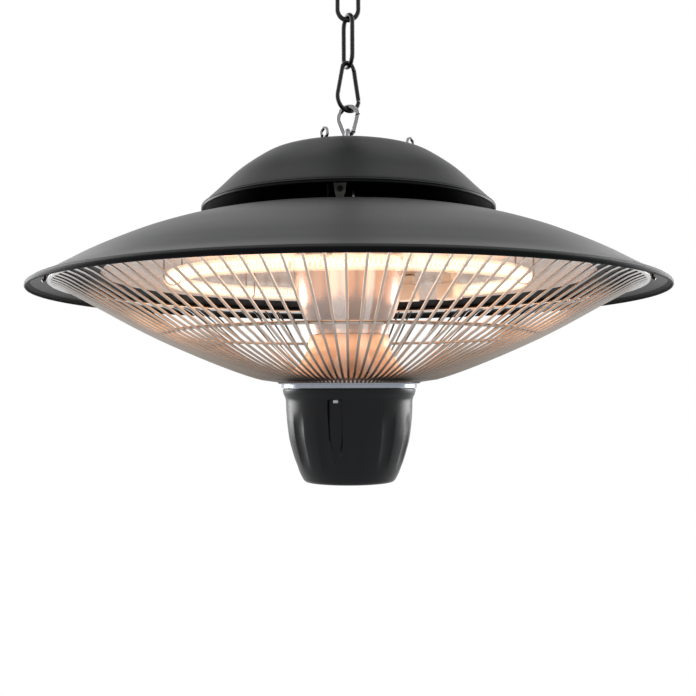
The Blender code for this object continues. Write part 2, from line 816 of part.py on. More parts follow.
def make_lamp_tube(parent, quartz):
    start = lamp_gap_turn + lamp_gap_half
    span = math.tau - 2 * lamp_gap_half
    bm = bmesh.new()
    rings = []
    for radius in (lamp_tube_radius, lamp_tube_radius - lamp_tube_wall):
        verts = []
        for index in range(lamp_sides):
            turn = math.tau * index / lamp_sides
            spot = ring_way(start) * (lamp_radius + radius * math.cos(turn))
            verts.append(bm.verts.new((spot.x, spot.y, radius * math.sin(turn))))
        rings.append(verts)
    outer, inner = rings
    for index in range(lamp_sides):
        after = (index + 1) % lamp_sides
        bm.faces.new((outer[index], outer[after], inner[after], inner[index]))
    bmesh.ops.spin(bm, geom=bm.verts[:] + bm.edges[:] + bm.faces[:], axis=(0, 0, 1),
                   cent=(0, 0, 0), angle=span, steps=lamp_steps)
    put(add_mesh("lamp_tube", bm, quartz), parent, (0, 0, lamp_z))


def least_gap(points, wire_radius, skip):
    # Least gap between stretches of a wound wire that are at least skip points apart
    spots = [Vector(point) for point in points]
    least = math.inf
    for index, spot in enumerate(spots):
        for other in spots[index + skip:]:
            least = min(least, (other - spot).length)
    return least - 2 * wire_radius


def make_filament(parent, glow):
    # One wire wound along the lamp's ring, with straight ends of one wire diameter
    start = lamp_gap_turn + lamp_gap_half
    span = math.tau - 2 * lamp_gap_half
    lead = 2 * coil_wire_radius / lamp_radius
    count = coil_curls * coil_points_per_curl
    points = [ring_way(start) * lamp_radius]
    for index in range(count + 1):
        share = index / count
        turn = start + lead + (span - 2 * lead) * share
        phase = math.tau * coil_curls * share
        grown = coil_radius * min(1, index / coil_points_per_curl,
                                  (count - index) / coil_points_per_curl)
        reach = lamp_radius + grown * math.cos(phase)
        points.append(ring_way(turn) * reach + Vector((0, 0, grown * math.sin(phase))))
    points.append(ring_way(start + span) * lamp_radius)
    coil = wire_curve("filament_coil", points, coil_wire_radius, glow)
    put(coil, parent, (0, 0, lamp_z))
    gap = least_gap(points, coil_wire_radius, coil_points_per_curl // 2)
    print(f"filament coil: {coil_curls} curls, least gap to itself {gap * 1000:.2f} mm")


def make_lamp_ends(parent, ceramic):
    # Ceramic ends stand square to the tube's ends and reach up to the reflector
    widest = (lamp_radius + lamp_cap_width / 2) / math.cos(math.pi / shell_steps)
    ends = (lamp_gap_turn + lamp_gap_half, lamp_gap_turn - lamp_gap_half)
    top = height_in_facets(reflector_under, widest, shell_steps) - clearance
    bottom = lamp_z - lamp_cap_height / 2
    inner = lamp_radius - lamp_cap_width / 2
    outer = lamp_radius + lamp_cap_width / 2
    for index, (turn, side) in enumerate(zip(ends, (-1, 1))):
        near = side * clearance
        far = side * (clearance + lamp_cap_length)
        outline = [(inner, near), (outer, near), (outer, far), (inner, far)]
        cap = prism(f"lamp_end_{index + 1}", outline, top - bottom, ceramic, across="Z")
        put(cap, parent, (0, 0, (top + bottom) / 2), turn)


def make_lamp_clips(parent, steel):
    # U-shaped wires that hang from the reflector and pass under the tube, clear of its facets
    facet_turn = (math.tau - 2 * lamp_gap_half) / lamp_steps
    sag = lamp_radius * (1 - math.cos(facet_turn / 2))
    half = lamp_tube_radius + sag + clearance + clip_wire_radius
    tops = []
    for radius in (lamp_radius - half, lamp_radius + half):
        edges = (radius - clip_wire_radius, radius + clip_wire_radius)
        lowest = min(height_in_facets(reflector_under, edge, shell_steps) for edge in edges)
        tops.append(lowest - clearance)
    path = [(lamp_radius - half, tops[0])]
    path += arc_points((lamp_radius, lamp_z), half, -math.pi, 0, arc_points_each)
    path += [(lamp_radius + half, tops[1])]
    points = [(radius, 0, height) for radius, height in path]
    for index, turn in enumerate(lamp_clip_turns):
        clip = wire_curve(f"lamp_clip_{index + 1}", points, clip_wire_radius, steel)
        put(clip, parent, turn=turn)


# Guard
def make_wire_guard(parent, steel):
    # One sector holds a stretch of the ring and one wire that grows out of its inner face
    sector = math.tau / guard_wire_count
    half = guard_wire_width / 2
    edge_turn = math.atan2(half, guard_root_radius)
    bm = bmesh.new()

    def ring_section(turn):
        way = ring_way(turn)
        section = []
        for radius, height in ((guard_root_radius, -half), (guard_root_radius, half),
                               (guard_seat_radius, guard_ring_half),
                               (guard_seat_radius, -guard_ring_half)):
            spot = way * radius
            section.append(bm.verts.new((spot.x, spot.y, guard_ring_z + height)))
        return section

    first, second, third = map(ring_section, (-edge_turn, edge_turn, sector - edge_turn))
    for low, high, skipped in ((first, second, 0), (second, third, None)):
        for index in range(len(low)):
            after = (index + 1) % len(low)
            if index != skipped:
                bm.faces.new((low[index], high[index], high[after], low[after]))
    section = [first[0], second[0], second[1], first[1]]
    for radius, height in guard_path[1:]:
        corners = ((-half, -half), (half, -half), (half, half), (-half, half))
        grown = [bm.verts.new((radius, across, height + up)) for across, up in corners]
        for index in range(len(section)):
            after = (index + 1) % len(section)
            bm.faces.new((section[index], section[after], grown[after], grown[index]))
        section = grown
    bm.faces.new(section)
    everything = bm.verts[:] + bm.edges[:] + bm.faces[:]
    bmesh.ops.spin(bm, geom=everything, axis=(0, 0, 1), cent=(0, 0, 0), angle=math.tau - sector,
                   steps=guard_wire_count - 1, use_duplicate=True)
    guard = add_mesh("wire_guard", bm, steel)
    put(guard, parent, turn=guard_first_wire_turn)


def make_middle_ring(parent, steel):
    slope = slope_on(guard_path, middle_ring_radius)
    lift = guard_wire_width / 2 + (middle_ring_wire_radius + clearance) / math.cos(slope)
    height = height_on(guard_path, middle_ring_radius) + lift
    size = middle_ring_wire_radius
    outline = [(middle_ring_radius - size, height), (middle_ring_radius, height - size),
               (middle_ring_radius + size, height), (middle_ring_radius, height + size)]
    put(turned("guard_middle_ring", outline, ring_steps, steel), parent)


def make_guard_clips(parent, dark):
    # Bent strips that hang from the shade's brim and pass under the guard's ring
    leg = guard_seat_radius + clearance
    foot_z = guard_ring_z - guard_ring_half - clearance
    slope = abs(slope_on(shade_under, leg + guard_clip_flange / 2))
    gap = clearance / math.cos(slope)
    spots = (leg, leg + guard_clip_flange / 2, leg + guard_clip_flange)
    flange = [(radius, height_in_facets(shade_under, radius, fine_steps) - gap)
              for radius in spots]
    path = [(guard_radius - guard_ring_half / 2, foot_z), (leg, foot_z)] + flange
    outline = sheet_outline(path, guard_clip_thickness)
    for index, turn in enumerate(guard_clip_turns):
        clip = prism(f"guard_clip_{index + 1}", outline, guard_clip_width, dark)
        put(clip, parent, turn=turn)


# Collar and cup
def make_collar(parent, bright):
    bore = around(tube_radius, shell_steps)
    path = [(bore, collar_floor_z), (collar_bottom_radius - collar_wall, collar_floor_z),
            (collar_top_radius - collar_wall, collar_top_z)]
    outline = [path[0], path[1], path[2], (collar_top_radius, collar_top_z),
               (collar_bottom_radius, collar_under_z), (bore, collar_under_z)]
    collar = put(turned("collar", outline, shell_steps, bright), parent)
    for x, y, _ in circle_places(cup_screw_circle, channel_count, first_channel_turn):
        drill(collar, parent, around(cup_screw_radius, hole_steps), collar_wall + 2 * cut_overrun,
              (x, y, collar_floor_z - collar_wall / 2))


def channel_limit(turn, radius):
    # Radius at which a line from the axis meets the nearest screw channel's wall
    pitch = math.tau / channel_count
    offset = (turn - first_channel_turn + pitch / 2) % pitch - pitch / 2
    reach = channel_circle * math.sin(offset)
    if abs(offset) > pitch / 4 or abs(reach) >= radius:
        return math.inf
    return channel_circle * math.cos(offset) - math.sqrt(radius ** 2 - reach ** 2)


def flute_drop(turn):
    pitch = math.tau / flute_count
    offset = abs((turn - first_flute_turn + pitch / 2) % pitch - pitch / 2)
    return flute_depth * max(0, 1 - offset / (pitch / 4))


def cup_outline():
    rows = [0, (channel_top_depth - channel_step) / cup_height, channel_top_depth / cup_height]
    outer = [(cup_radius * across, cup_top_z - cup_height * down) for across, down in cup_shares]
    top_rows = [cup_top_z - cup_height * share for share in rows]
    lower = [point for point in outer if point[1] < channel_top_z - channel_step]
    outer_rows = [(radius_on(outer, height), height) for height in top_rows] + lower
    roof_z = channel_top_z + cup_wall
    inner_rows = [cup_top_z, roof_z + channel_step, roof_z]
    inner_rows += [cup_top_z - cup_height * share for share in cup_inner_depth_shares[1:]]
    inner_rows += [cup_bottom_z + cup_floor]
    inner = [(radius_on(outer, height) - cup_wall, height) for height in inner_rows]
    bore = around(button_radius, cup_steps)
    outline = [(bore, cup_bottom_z)] + list(reversed(outer_rows)) + inner
    return outline + [(bore, cup_bottom_z + cup_floor)], outer


def make_control_cup(parent, finish):
    outline, outer = cup_outline()
    bm = turned_bmesh(outline, cup_steps)
    for _, _, turn in circle_places(channel_circle, channel_count, first_channel_turn):
        spread = math.asin((channel_radius + cup_wall) / channel_circle)
        for share in channel_column_shares:
            column = turn + spread * share
            near = [face for face in bm.faces
                    if face.calc_center_median().xy.length > 0
                    and face.calc_center_median().xy.angle(ring_way(turn).xy) < 2 * spread]
            geom = near + list({edge for face in near for edge in face.edges})
            geom += list({vert for face in near for vert in face.verts})
            bmesh.ops.bisect_plane(bm, geom=geom, dist=merge_distance, plane_co=(0, 0, 0),
                                   plane_no=(-math.sin(column), math.cos(column), 0))
    roof_z = channel_top_z + cup_wall
    flute_top = cup_top_z - cup_height * flute_top_share
    flute_bottom = cup_top_z - cup_height * flute_bottom_share
    for vert in bm.verts:
        radius = vert.co.xy.length
        turn = math.atan2(vert.co.y, vert.co.x)
        full = radius_on(outer, vert.co.z)
        wanted = radius
        if radius > full - cup_wall / 2:
            if vert.co.z < channel_top_z + merge_distance:
                wanted = min(radius, channel_limit(turn, channel_radius))
            if flute_bottom < vert.co.z < flute_top:
                wanted = min(wanted, radius - flute_drop(turn))
        elif vert.co.z < roof_z + merge_distance:
            wanted = min(radius, channel_limit(turn, channel_radius + cup_wall))
        vert.co.xy *= wanted / radius
    cup = put(add_mesh("control_cup", bm, finish), parent)
    length = cup_wall + 2 * cut_overrun
    for x, y, _ in circle_places(cup_screw_circle, channel_count, first_channel_turn):
        drill(cup, parent, around(cup_screw_radius, hole_steps), length,
              (x, y, channel_top_z + cup_wall / 2))
    drill(cup, parent, around(window_radius, hole_steps), cup_floor + 2 * cut_overrun,
          (window_offset, 0, cup_bottom_z + cup_floor / 2))


def make_cup_screws(parent, steel):
    head_top = channel_top_z - clearance
    outline = [(0, head_top - cup_screw_head_height), (cup_screw_head_radius,
               head_top - cup_screw_head_height), (cup_screw_head_radius, head_top),
               (cup_screw_radius, head_top), (cup_screw_radius, collar_floor_z),
               (0, collar_floor_z)]
    spots = circle_places(cup_screw_circle, channel_count, first_channel_turn)
    for index, (x, y, _) in enumerate(spots):
        put(turned(f"cup_screw_{index + 1}", outline, hole_steps, steel), parent, (x, y, 0))


def make_board_and_window(parent, green, lens):
    outer = [(cup_radius * across, cup_top_z - cup_height * down) for across, down in cup_shares]
    radius = inside(radius_on(outer, board_under_z) - cup_wall - flute_depth, cup_steps)
    outline = [(0, board_under_z), (radius, board_under_z),
               (radius, board_under_z + board_thickness), (0, board_under_z + board_thickness)]
    put(turned("control_board", outline, cup_steps, green), parent)
    rim_z = cup_bottom_z + cup_floor + clearance
    outline = [(0, cup_bottom_z), (window_radius, cup_bottom_z), (window_radius, rim_z),
               (window_rim_radius, rim_z), (window_rim_radius, rim_z + button_skirt_height),
               (0, rim_z + button_skirt_height)]
    window = turned("receiver_window", outline, small_steps, lens)
    put(window, parent, (window_offset, 0, 0))


def make_button(parent, finish):
    rim_z = cup_bottom_z + cup_floor + clearance
    outline = [(0, cup_bottom_z), (button_radius, cup_bottom_z), (button_radius, rim_z),
               (button_skirt_radius, rim_z), (button_skirt_radius, rim_z + button_skirt_height),
               (0, rim_z + button_skirt_height)]
    put(turned("power_button", outline, small_steps, finish), parent)


def make_button_spring(parent, steel):
    bottom = cup_bottom_z + cup_floor + button_skirt_height + 2 * clearance + spring_wire_radius
    top = board_under_z - clearance - spring_wire_radius
    count = spring_curls * spring_points_per_curl
    points = []
    for index in range(count + 1):
        turn = math.tau * spring_curls * index / count
        height = bottom + (top - bottom) * index / count
        points.append(ring_way(turn) * spring_radius + Vector((0, 0, height)))
    put(wire_curve("button_spring", points, spring_wire_radius, steel), parent)
    gap = least_gap(points, spring_wire_radius, spring_points_per_curl // 2)
    print(f"button spring: {spring_curls} curls, least gap to itself {gap * 1000:.2f} mm")


def main():
    clear_scene()
    black_steel = material("black_steel", (0.020, 0.020, 0.021), 0.45, 0.3)
    chrome = material("chrome", (0.80, 0.80, 0.80), 0.12, 1.0)
    zinc = material("zinc", (0.62, 0.62, 0.63), 0.35, 1.0)
    cap_black = material("cap_black", (0.030, 0.030, 0.032), 0.55)
    shade_black = material("shade_black", (0.045, 0.045, 0.048), 0.55)
    polished = material("polished_aluminium", (0.86, 0.85, 0.84), 0.15, 1.0)
    guard_steel = material("guard_steel", (0.55, 0.54, 0.53), 0.30, 1.0)
    quartz = material("quartz", (0.95, 0.95, 0.95), 0.05, alpha=0.35)
    filament = material("filament", (1.0, 0.72, 0.42), 0.5, glow=8.0)
    ceramic = material("ceramic", (0.85, 0.83, 0.78), 0.6)
    cup_black = material("cup_black", (0.016, 0.016, 0.018), 0.30)
    clear_plastic = material("clear_plastic", (0.80, 0.80, 0.76), 0.25)
    board_green = material("board_green", (0.02, 0.16, 0.06), 0.5)
    dark_lens = material("dark_lens", (0.05, 0.008, 0.010), 0.10)

    ceiling = carrier("ceiling", (0, 0, 0))
    upper = carrier("link_upper", (0, 0, hook_bottom_z), ceiling)
    lower = carrier("link_lower", (0, 0, upper_link_bottom_z), upper)
    black = carrier("black_hook", (0, 0, lower_link_bottom_z), lower)
    chrome_hook = carrier("chrome_hook", (0, 0, black_bottom_z), black)
    heater = carrier("heater", (0, 0, chrome_bottom_z), chrome_hook)
    button = carrier("button", (0, 0, cup_bottom_z), heater)

    make_ceiling_plate(ceiling, black_steel)
    make_ceiling_hook(ceiling, black_steel)
    make_link("chain_link_upper", upper, upper_link_z, 0, black_steel)
    make_link("chain_link_lower", lower, lower_link_z, lower_link_turn, black_steel)
    hooks = (("black_snap", black, black_z, black_turn, black_steel,
              SnapShape(black_length, black_wire_radius, black_hinge_end_radius,
                        black_nose_end_radius, black_nose_angle, black_gate_radius, False)),
             ("chrome_snap", chrome_hook, chrome_z, chrome_turn, chrome,
              SnapShape(chrome_length, chrome_wire_radius, chrome_hinge_end_radius,
                        chrome_nose_end_radius, chrome_nose_angle, chrome_gate_radius, True)))
    for name, body, top_z, turn, finish, shape in hooks:
        gate_body = carrier(name + "_gate_hinge", shape.hinge_place(top_z, turn), body)
        make_snap_hook(name + "_hook", shape, body, top_z, turn, finish)
        make_gate(name + "_gate", shape, gate_body, turn, finish)
        make_gate_pin(name + "_pin", shape, body, top_z, turn, zinc)

    make_centre_eye(heater, zinc)
    make_top_cap(heater, cap_black)
    make_cable_gland(heater, cup_black)
    make_eye_bolts(heater, zinc, black_steel)
    make_shade(heater, shade_black)
    make_support_cross(heater, zinc)
    make_terminal_block(heater, clear_plastic)
    make_reflectors(heater, polished)
    make_centre_tube(heater, zinc)
    make_lamp_tube(heater, quartz)
    make_filament(heater, filament)
    make_lamp_ends(heater, ceramic)
    make_lamp_clips(heater, zinc)
    make_wire_guard(heater, guard_steel)
    make_middle_ring(heater, guard_steel)
    make_guard_clips(heater, cup_black)
    make_collar(heater, chrome)
    make_control_cup(heater, cup_black)
    make_cup_screws(heater, zinc)
    make_board_and_window(heater, board_green, dark_lens)
    make_button(button, cup_black)
    make_button_spring(heater, zinc)


main()
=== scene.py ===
import math

import bmesh
import bpy
from mathutils import Matrix, Vector
from mathutils.geometry import interpolate_bezier


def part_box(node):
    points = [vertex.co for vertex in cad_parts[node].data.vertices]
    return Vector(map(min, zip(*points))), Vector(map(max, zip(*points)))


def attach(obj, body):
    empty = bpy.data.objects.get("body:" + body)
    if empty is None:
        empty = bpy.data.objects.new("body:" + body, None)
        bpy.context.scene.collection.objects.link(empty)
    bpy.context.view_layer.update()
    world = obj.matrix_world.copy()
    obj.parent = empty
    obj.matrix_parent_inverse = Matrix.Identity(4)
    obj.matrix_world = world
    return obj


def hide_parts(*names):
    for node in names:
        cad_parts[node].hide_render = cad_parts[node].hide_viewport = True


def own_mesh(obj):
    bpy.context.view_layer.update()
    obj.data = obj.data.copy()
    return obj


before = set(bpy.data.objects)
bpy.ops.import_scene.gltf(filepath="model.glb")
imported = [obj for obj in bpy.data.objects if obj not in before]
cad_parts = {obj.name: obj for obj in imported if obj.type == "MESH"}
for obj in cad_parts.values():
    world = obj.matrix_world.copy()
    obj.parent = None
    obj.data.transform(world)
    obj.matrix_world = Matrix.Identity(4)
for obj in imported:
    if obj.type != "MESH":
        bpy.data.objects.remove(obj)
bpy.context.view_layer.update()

# Hanging patio heater. Lengths are in metres, heights of the heater's pieces are counted
# from the top of the control cup, and front is -Y.

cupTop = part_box("control_cup")[1][2]
hair = 0.0003  # running gap between pieces that meet
weld = 0.000005  # points closer than this become one
origin = (0, 0, 0)


# Helpers
def boxOf(node):
    low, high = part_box(node)
    return Vector(low), Vector(high)


def around(angle, radius, height=0.0):
    return Vector((radius * math.cos(angle), radius * math.sin(angle), height))


def smoothPath(points, steps):
    # Smooth curve through a few points
    spots = [Vector(p) for p in points]
    path = []
    for i in range(len(spots) - 1):
        before, start = spots[max(i - 1, 0)], spots[i]
        end, after = spots[i + 1], spots[min(i + 2, len(spots) - 1)]
        reach = (end - start).length / 3
        out = (end - before).normalized() * reach
        into = (after - start).normalized() * reach
        path += interpolate_bezier(start, start + out, end - into, end, steps + 1)[:-1]
    return path + [spots[-1]]


def profile(points, steps=4):
    # Smooth (radius, height) outline, heights counted from the cup's top
    return [(p.x, p.y + cupTop) for p in smoothPath([(r, z, 0) for r, z in points], steps)]


def plain(points):
    return [(r, z + cupTop) for r, z in points]


def sheet(path, wall):
    # Outline of a sheet: the path, and the same path one wall to its right
    inner = []
    for i, (r, z) in enumerate(path):
        (r0, z0), (r1, z1) = path[max(i - 1, 0)], path[min(i + 1, len(path) - 1)]
        way = Vector((r1 - r0, z1 - z0)).normalized()
        inner.append((r + way.y * wall, z - way.x * wall))
    return list(path) + inner[::-1]


def addPiece(name, mesh, body, look, replaced=()):
    piece = bpy.data.objects.new(name, mesh)
    bpy.context.collection.objects.link(piece)
    mesh.materials.clear()
    mesh.materials.append(looks[look])
    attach(piece, body)
    if replaced:
        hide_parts(*replaced)
    return piece


def finishMesh(name, bm, angle=32):
    bmesh.ops.remove_doubles(bm, verts=bm.verts, dist=weld)
    bmesh.ops.recalc_face_normals(bm, faces=bm.faces)
    mesh = bpy.data.meshes.new(name)
    bm.to_mesh(mesh)
    bm.free()
    mesh.shade_smooth()
    mesh.set_sharp_from_angle(angle=math.radians(angle))
    return mesh


def spunMesh(bm, outline, segments, centre=origin):
    # Spins an outline of (radius, height) round a vertical axis into an open bmesh
    shift = Vector(centre)
    verts = [bm.verts.new(around(0, r, z) + shift) for r, z in outline]
    edges = [bm.edges.new(pair) for pair in zip(verts, verts[1:])]
    if outline[0][0] > 0 or outline[-1][0] > 0:
        edges.append(bm.edges.new((verts[-1], verts[0])))
    bmesh.ops.spin(bm, geom=verts + edges, axis=(0, 0, 1), cent=centre, angle=math.tau,
                   steps=segments, use_merge=True)


def spunPiece(name, outline, segments, body, look, replaced=(), centre=origin, angle=32):
    bm = bmesh.new()
    spunMesh(bm, outline, segments, centre)
    return addPiece(name, finishMesh(name, bm, angle), body, look, replaced)


def mergeInto(bm, name, other):
    mesh = finishMesh(name, other)
    bm.from_mesh(mesh)
    bpy.data.meshes.remove(mesh)


def vertsOf(made):
    return [v for v in made["geom"] if isinstance(v, bmesh.types.BMVert)]


def wireMesh(name, runs, radius, closed=False, sides=3):
    # Round wires along runs of points, as one mesh
    curve = bpy.data.curves.new(name + "Guide", "CURVE")
    curve.dimensions = "3D"
    curve.bevel_depth = radius
    curve.bevel_resolution = sides
    curve.use_fill_caps = True
    for points in runs:
        spline = curve.splines.new("POLY")
        spline.points.add(len(points) - 1)
        for slot, point in zip(spline.points, points):
            slot.co = (*point, 1)
        spline.use_cyclic_u = closed
        spline.use_smooth = True
    guide = bpy.data.objects.new(name + "Guide", curve)
    bpy.context.collection.objects.link(guide)
    graph = bpy.context.evaluated_depsgraph_get()
    mesh = bpy.data.meshes.new_from_object(guide.evaluated_get(graph))
    bpy.data.objects.remove(guide)
    bpy.data.curves.remove(curve)
    bm = bmesh.new()
    bm.from_mesh(mesh)
    bpy.data.meshes.remove(mesh)
    return bm


def wirePiece(name, runs, radius, body, look, replaced=(), closed=False, sides=3):
    bm = wireMesh(name, runs, radius, closed, sides)
    return addPiece(name, finishMesh(name, bm, 50), body, look, replaced)


def roundBox(bm, low, high, bevel, segments=2):
    # A box with rounded edges
    size = Vector(high) - Vector(low)
    middle = (Vector(high) + Vector(low)) / 2
    made = bmesh.ops.create_cube(bm, size=1.0, matrix=Matrix.Translation(middle)
                                 @ Matrix.Diagonal((*size, 1)))
    edges = list({e for v in made["verts"] for e in v.link_edges})
    bmesh.ops.bevel(bm, geom=edges, offset=bevel, offset_type="OFFSET", affect="EDGES",
                    segments=segments, profile=0.5, material=-1)


def arc(centre, radius, start, end, count):
    # Points in the XZ plane
    turns = [start + (end - start) * i / (count - 1) for i in range(count)]
    return [Vector((centre[0] + radius * math.cos(t), 0, centre[1] + radius * math.sin(t)))
            for t in turns]


def place(points, turn, spot):
    spin = Matrix.Rotation(turn, 4, "Z")
    return [spin @ Vector(p) + Vector(spot) for p in points]


print("helpers ready")


# Materials
finishSet = {
    "paint": {"tint": (0.94, 0.97, 1.0), "detail": 2.0, "cloud": 14.0, "spread": 0.07,
              "wander": 0.04, "bump": 0.35},
    "plastic": {"tint": (0.93, 0.96, 1.0), "grain": 1800.0, "detail": 2.0, "depth": 0.00003,
                "cloud": 40.0, "spread": 0.06, "patch": 60.0, "smoother": 0.03,
                "rougher": 0.05, "bump": 0.25},
    "metal": {"detail": 3.0, "spread": 0.05, "patch": 120.0, "smoother": 0.75,
              "rougher": 1.3, "bump": 0.3},
    "spun": {"lean": 0.6, "detail": 2.0, "spread": 0.03, "patch": 35.0, "smoother": 0.8,
             "rougher": 1.25, "bump": 0.25},
    "toneStops": (0.3, 0.7),
}


def shaderOf(name, color, rough, metal=0.0):
    look = bpy.data.materials.new(name)
    look.use_nodes = True
    shader = look.node_tree.nodes["Principled BSDF"]
    shader.inputs["Base Color"].default_value = (*color, 1)
    shader.inputs["Roughness"].default_value = rough
    shader.inputs["Metallic"].default_value = metal
    return look, look.node_tree, shader


def addNode(tree, kind, values=(), links=()):
    node = tree.nodes.new("ShaderNode" + kind)
    for socket, value in dict(values).items():
        node.inputs[socket].default_value = value
    for socket, source in dict(links).items():
        tree.links.new(source, node.inputs[socket])
    return node


def mathNode(tree, kind, *terms):
    node = addNode(tree, "Math")
    node.operation = kind
    for socket, value in zip(node.inputs, terms):
        if isinstance(value, (int, float)):
            socket.default_value = value
        else:
            tree.links.new(value, socket)
    return node.outputs[0]


def coordsOf(tree):
    return addNode(tree, "TexCoord").outputs["Object"]


def grainOf(tree, scale, detail=3.0):
    noise = addNode(tree, "TexNoise", {"Scale": scale, "Detail": detail},
                    {"Vector": coordsOf(tree)})
    return noise.outputs["Fac"]


def partsOf(tree):
    return addNode(tree, "SeparateXYZ", links={0: coordsOf(tree)}).outputs


def reachOf(tree, parts):
    # Distance from the upright axis
    across = mathNode(tree, "MULTIPLY", parts["X"], parts["X"])
    deep = mathNode(tree, "MULTIPLY", parts["Y"], parts["Y"])
    return mathNode(tree, "SQRT", mathNode(tree, "ADD", across, deep))


def spinMarks(tree, scale):
    # Fine rings round the upright axis, as a lathe leaves them
    s = finishSet["spun"]
    parts = partsOf(tree)
    rise = mathNode(tree, "MULTIPLY", parts["Z"], s["lean"])
    noise = addNode(tree, "TexNoise", {"Scale": scale, "Detail": s["detail"]})
    noise.noise_dimensions = "1D"
    tree.links.new(mathNode(tree, "ADD", reachOf(tree, parts), rise), noise.inputs["W"])
    return noise.outputs["Fac"]


def rampOf(tree, factor, tones):
    ramp = addNode(tree, "ValToRGB", links={0: factor})
    while len(ramp.color_ramp.elements) < len(tones):
        ramp.color_ramp.elements.new(0.5)
    for stop, (position, color) in zip(ramp.color_ramp.elements, tones):
        stop.position = position
        stop.color = (*color, 1)
    return ramp.outputs[0]


def bumpFrom(tree, shader, height, depth, strength):
    bump = addNode(tree, "Bump", {"Distance": depth, "Strength": strength}, {"Height": height})
    tree.links.new(bump.outputs[0], shader.inputs["Normal"])


def tintFrom(tree, shader, factor, dark, light):
    tones = zip(finishSet["toneStops"], (dark, light))
    tree.links.new(rampOf(tree, factor, list(tones)), shader.inputs["Base Color"])


def roughFrom(tree, shader, factor, low, high):
    span = addNode(tree, "MapRange", {"To Min": low, "To Max": high}, {"Value": factor})
    tree.links.new(span.outputs[0], shader.inputs["Roughness"])


def patchyGloss(tree, shader, rough, s):
    roughFrom(tree, shader, grainOf(tree, s["patch"]), rough * s["smoother"],
              rough * s["rougher"])


def mixTones(color, spread):
    return [c * (1 - spread) for c in color], [min(c * (1 + spread), 1) for c in color]


def glossFrom(shader, shine, tint):
    shader.inputs["Specular IOR Level"].default_value = shine
    shader.inputs["Specular Tint"].default_value = (*tint, 1)


def paintLook(name, color, rough, shine, grain, depth):
    # Powder-fine matt paint on spun metal
    s = finishSet["paint"]
    look, tree, shader = shaderOf(name, color, rough)
    glossFrom(shader, shine, s["tint"])
    speckle = grainOf(tree, grain, s["detail"])
    cloud = grainOf(tree, s["cloud"])
    tintFrom(tree, shader, cloud, *mixTones(color, s["spread"]))
    roughFrom(tree, shader, cloud, rough - s["wander"], rough + s["wander"])
    bumpFrom(tree, shader, speckle, depth, s["bump"])
    return look


def metalLook(name, color, rough, grain=900.0, depth=0.00002):
    s = finishSet["metal"]
    look, tree, shader = shaderOf(name, color, rough, 1.0)
    speckle = grainOf(tree, grain, s["detail"])
    tintFrom(tree, shader, speckle, *mixTones(color, s["spread"]))
    patchyGloss(tree, shader, rough, s)
    bumpFrom(tree, shader, speckle, depth, s["bump"])
    return look


def spunMetalLook(name, color, rough, marks, depth):
    s = finishSet["spun"]
    look, tree, shader = shaderOf(name, color, rough, 1.0)
    rings = spinMarks(tree, marks)
    tintFrom(tree, shader, rings, *mixTones(color, s["spread"]))
    patchyGloss(tree, shader, rough, s)
    bumpFrom(tree, shader, rings, depth, s["bump"])
    return look


def plasticLook(name, color, rough, shine=0.5):
    s = finishSet["plastic"]
    look, tree, shader = shaderOf(name, color, rough)
    glossFrom(shader, shine, s["tint"])
    speckle = grainOf(tree, s["grain"], s["detail"])
    tintFrom(tree, shader, grainOf(tree, s["cloud"]), *mixTones(color, s["spread"]))
    roughFrom(tree, shader, grainOf(tree, s["patch"]), rough - s["smoother"],
              rough + s["rougher"])
    bumpFrom(tree, shader, speckle, s["depth"], s["bump"])
    return look


def reachShare(tree, near, far):
    # 0 to 1 between two distances from the upright axis
    span = addNode(tree, "MapRange", {"From Min": near, "From Max": far},
                   {"Value": reachOf(tree, partsOf(tree))})
    return span.outputs[0]


def turnShare(tree):
    # 0 to 1 over each third of a turn, one half at the front, for placing painted reflection
    # bands
    repeats = 3
    parts = partsOf(tree)
    turn = mathNode(tree, "ADD", mathNode(tree, "ARCTAN2", parts["Y"], parts["X"]),
                    math.pi / 2 + math.pi / repeats + math.tau)
    return mathNode(tree, "FRACT", mathNode(tree, "MULTIPLY", turn, repeats / math.tau))


def paintedReflectionLook(name, color, rough, s):
    # Spun metal with painted reflections: upright bands of painted highlight and darker painted
    # reflection that fade out between two distances from the axis
    look = spunMetalLook(name, color, rough, s["marks"], s["depth"])
    tree = look.node_tree
    base = tree.nodes["Principled BSDF"].inputs["Base Color"]
    stops = [(position, s["tones"][tone]) for position, tone in s["stops"]]
    mix = addNode(tree, "Mix")
    mix.data_type = "RGBA"
    tree.links.new(reachShare(tree, s["near"], s["far"]), mix.inputs[0])
    tree.links.new(rampOf(tree, turnShare(tree), stops), mix.inputs[6])
    tree.links.new(base.links[0].from_socket, mix.inputs[7])
    tree.links.new(mix.outputs[2], base)
    return look


# Painted shade and painted lamp glow along the guard's wires, from the collar out to the ring
guardShadeAndGlowTones = {
    "base": (0.3, 0.3, 0.3), "grain": 900.0, "depth": 0.00002, "nudge": 0.10,
    "near": 0.048, "far": 0.200,
    "stops": [(0.0, (0.11, 0.092, 0.08)), (0.18, (0.25, 0.21, 0.18)),
              (0.55, (0.42, 0.37, 0.33)), (0.90, (0.42, 0.39, 0.365)),
              (0.97, (0.62, 0.62, 0.62))],
}


def guardShadedLook(name, rough, s):
    # Bright outside, darker towards the collar as painted shade where the wires lie in shade,
    # with painted lamp glow warming the middle
    metal = finishSet["metal"]
    look, tree, shader = shaderOf(name, s["base"], rough, 1.0)
    speckle = grainOf(tree, s["grain"], metal["detail"])
    nudge = mathNode(tree, "MULTIPLY", mathNode(tree, "SUBTRACT", speckle, 0.5), s["nudge"])
    share = mathNode(tree, "ADD", reachShare(tree, s["near"], s["far"]), nudge)
    tree.links.new(rampOf(tree, share, s["stops"]), shader.inputs["Base Color"])
    patchyGloss(tree, shader, rough, metal)
    bumpFrom(tree, shader, speckle, s["depth"], metal["bump"])
    return look
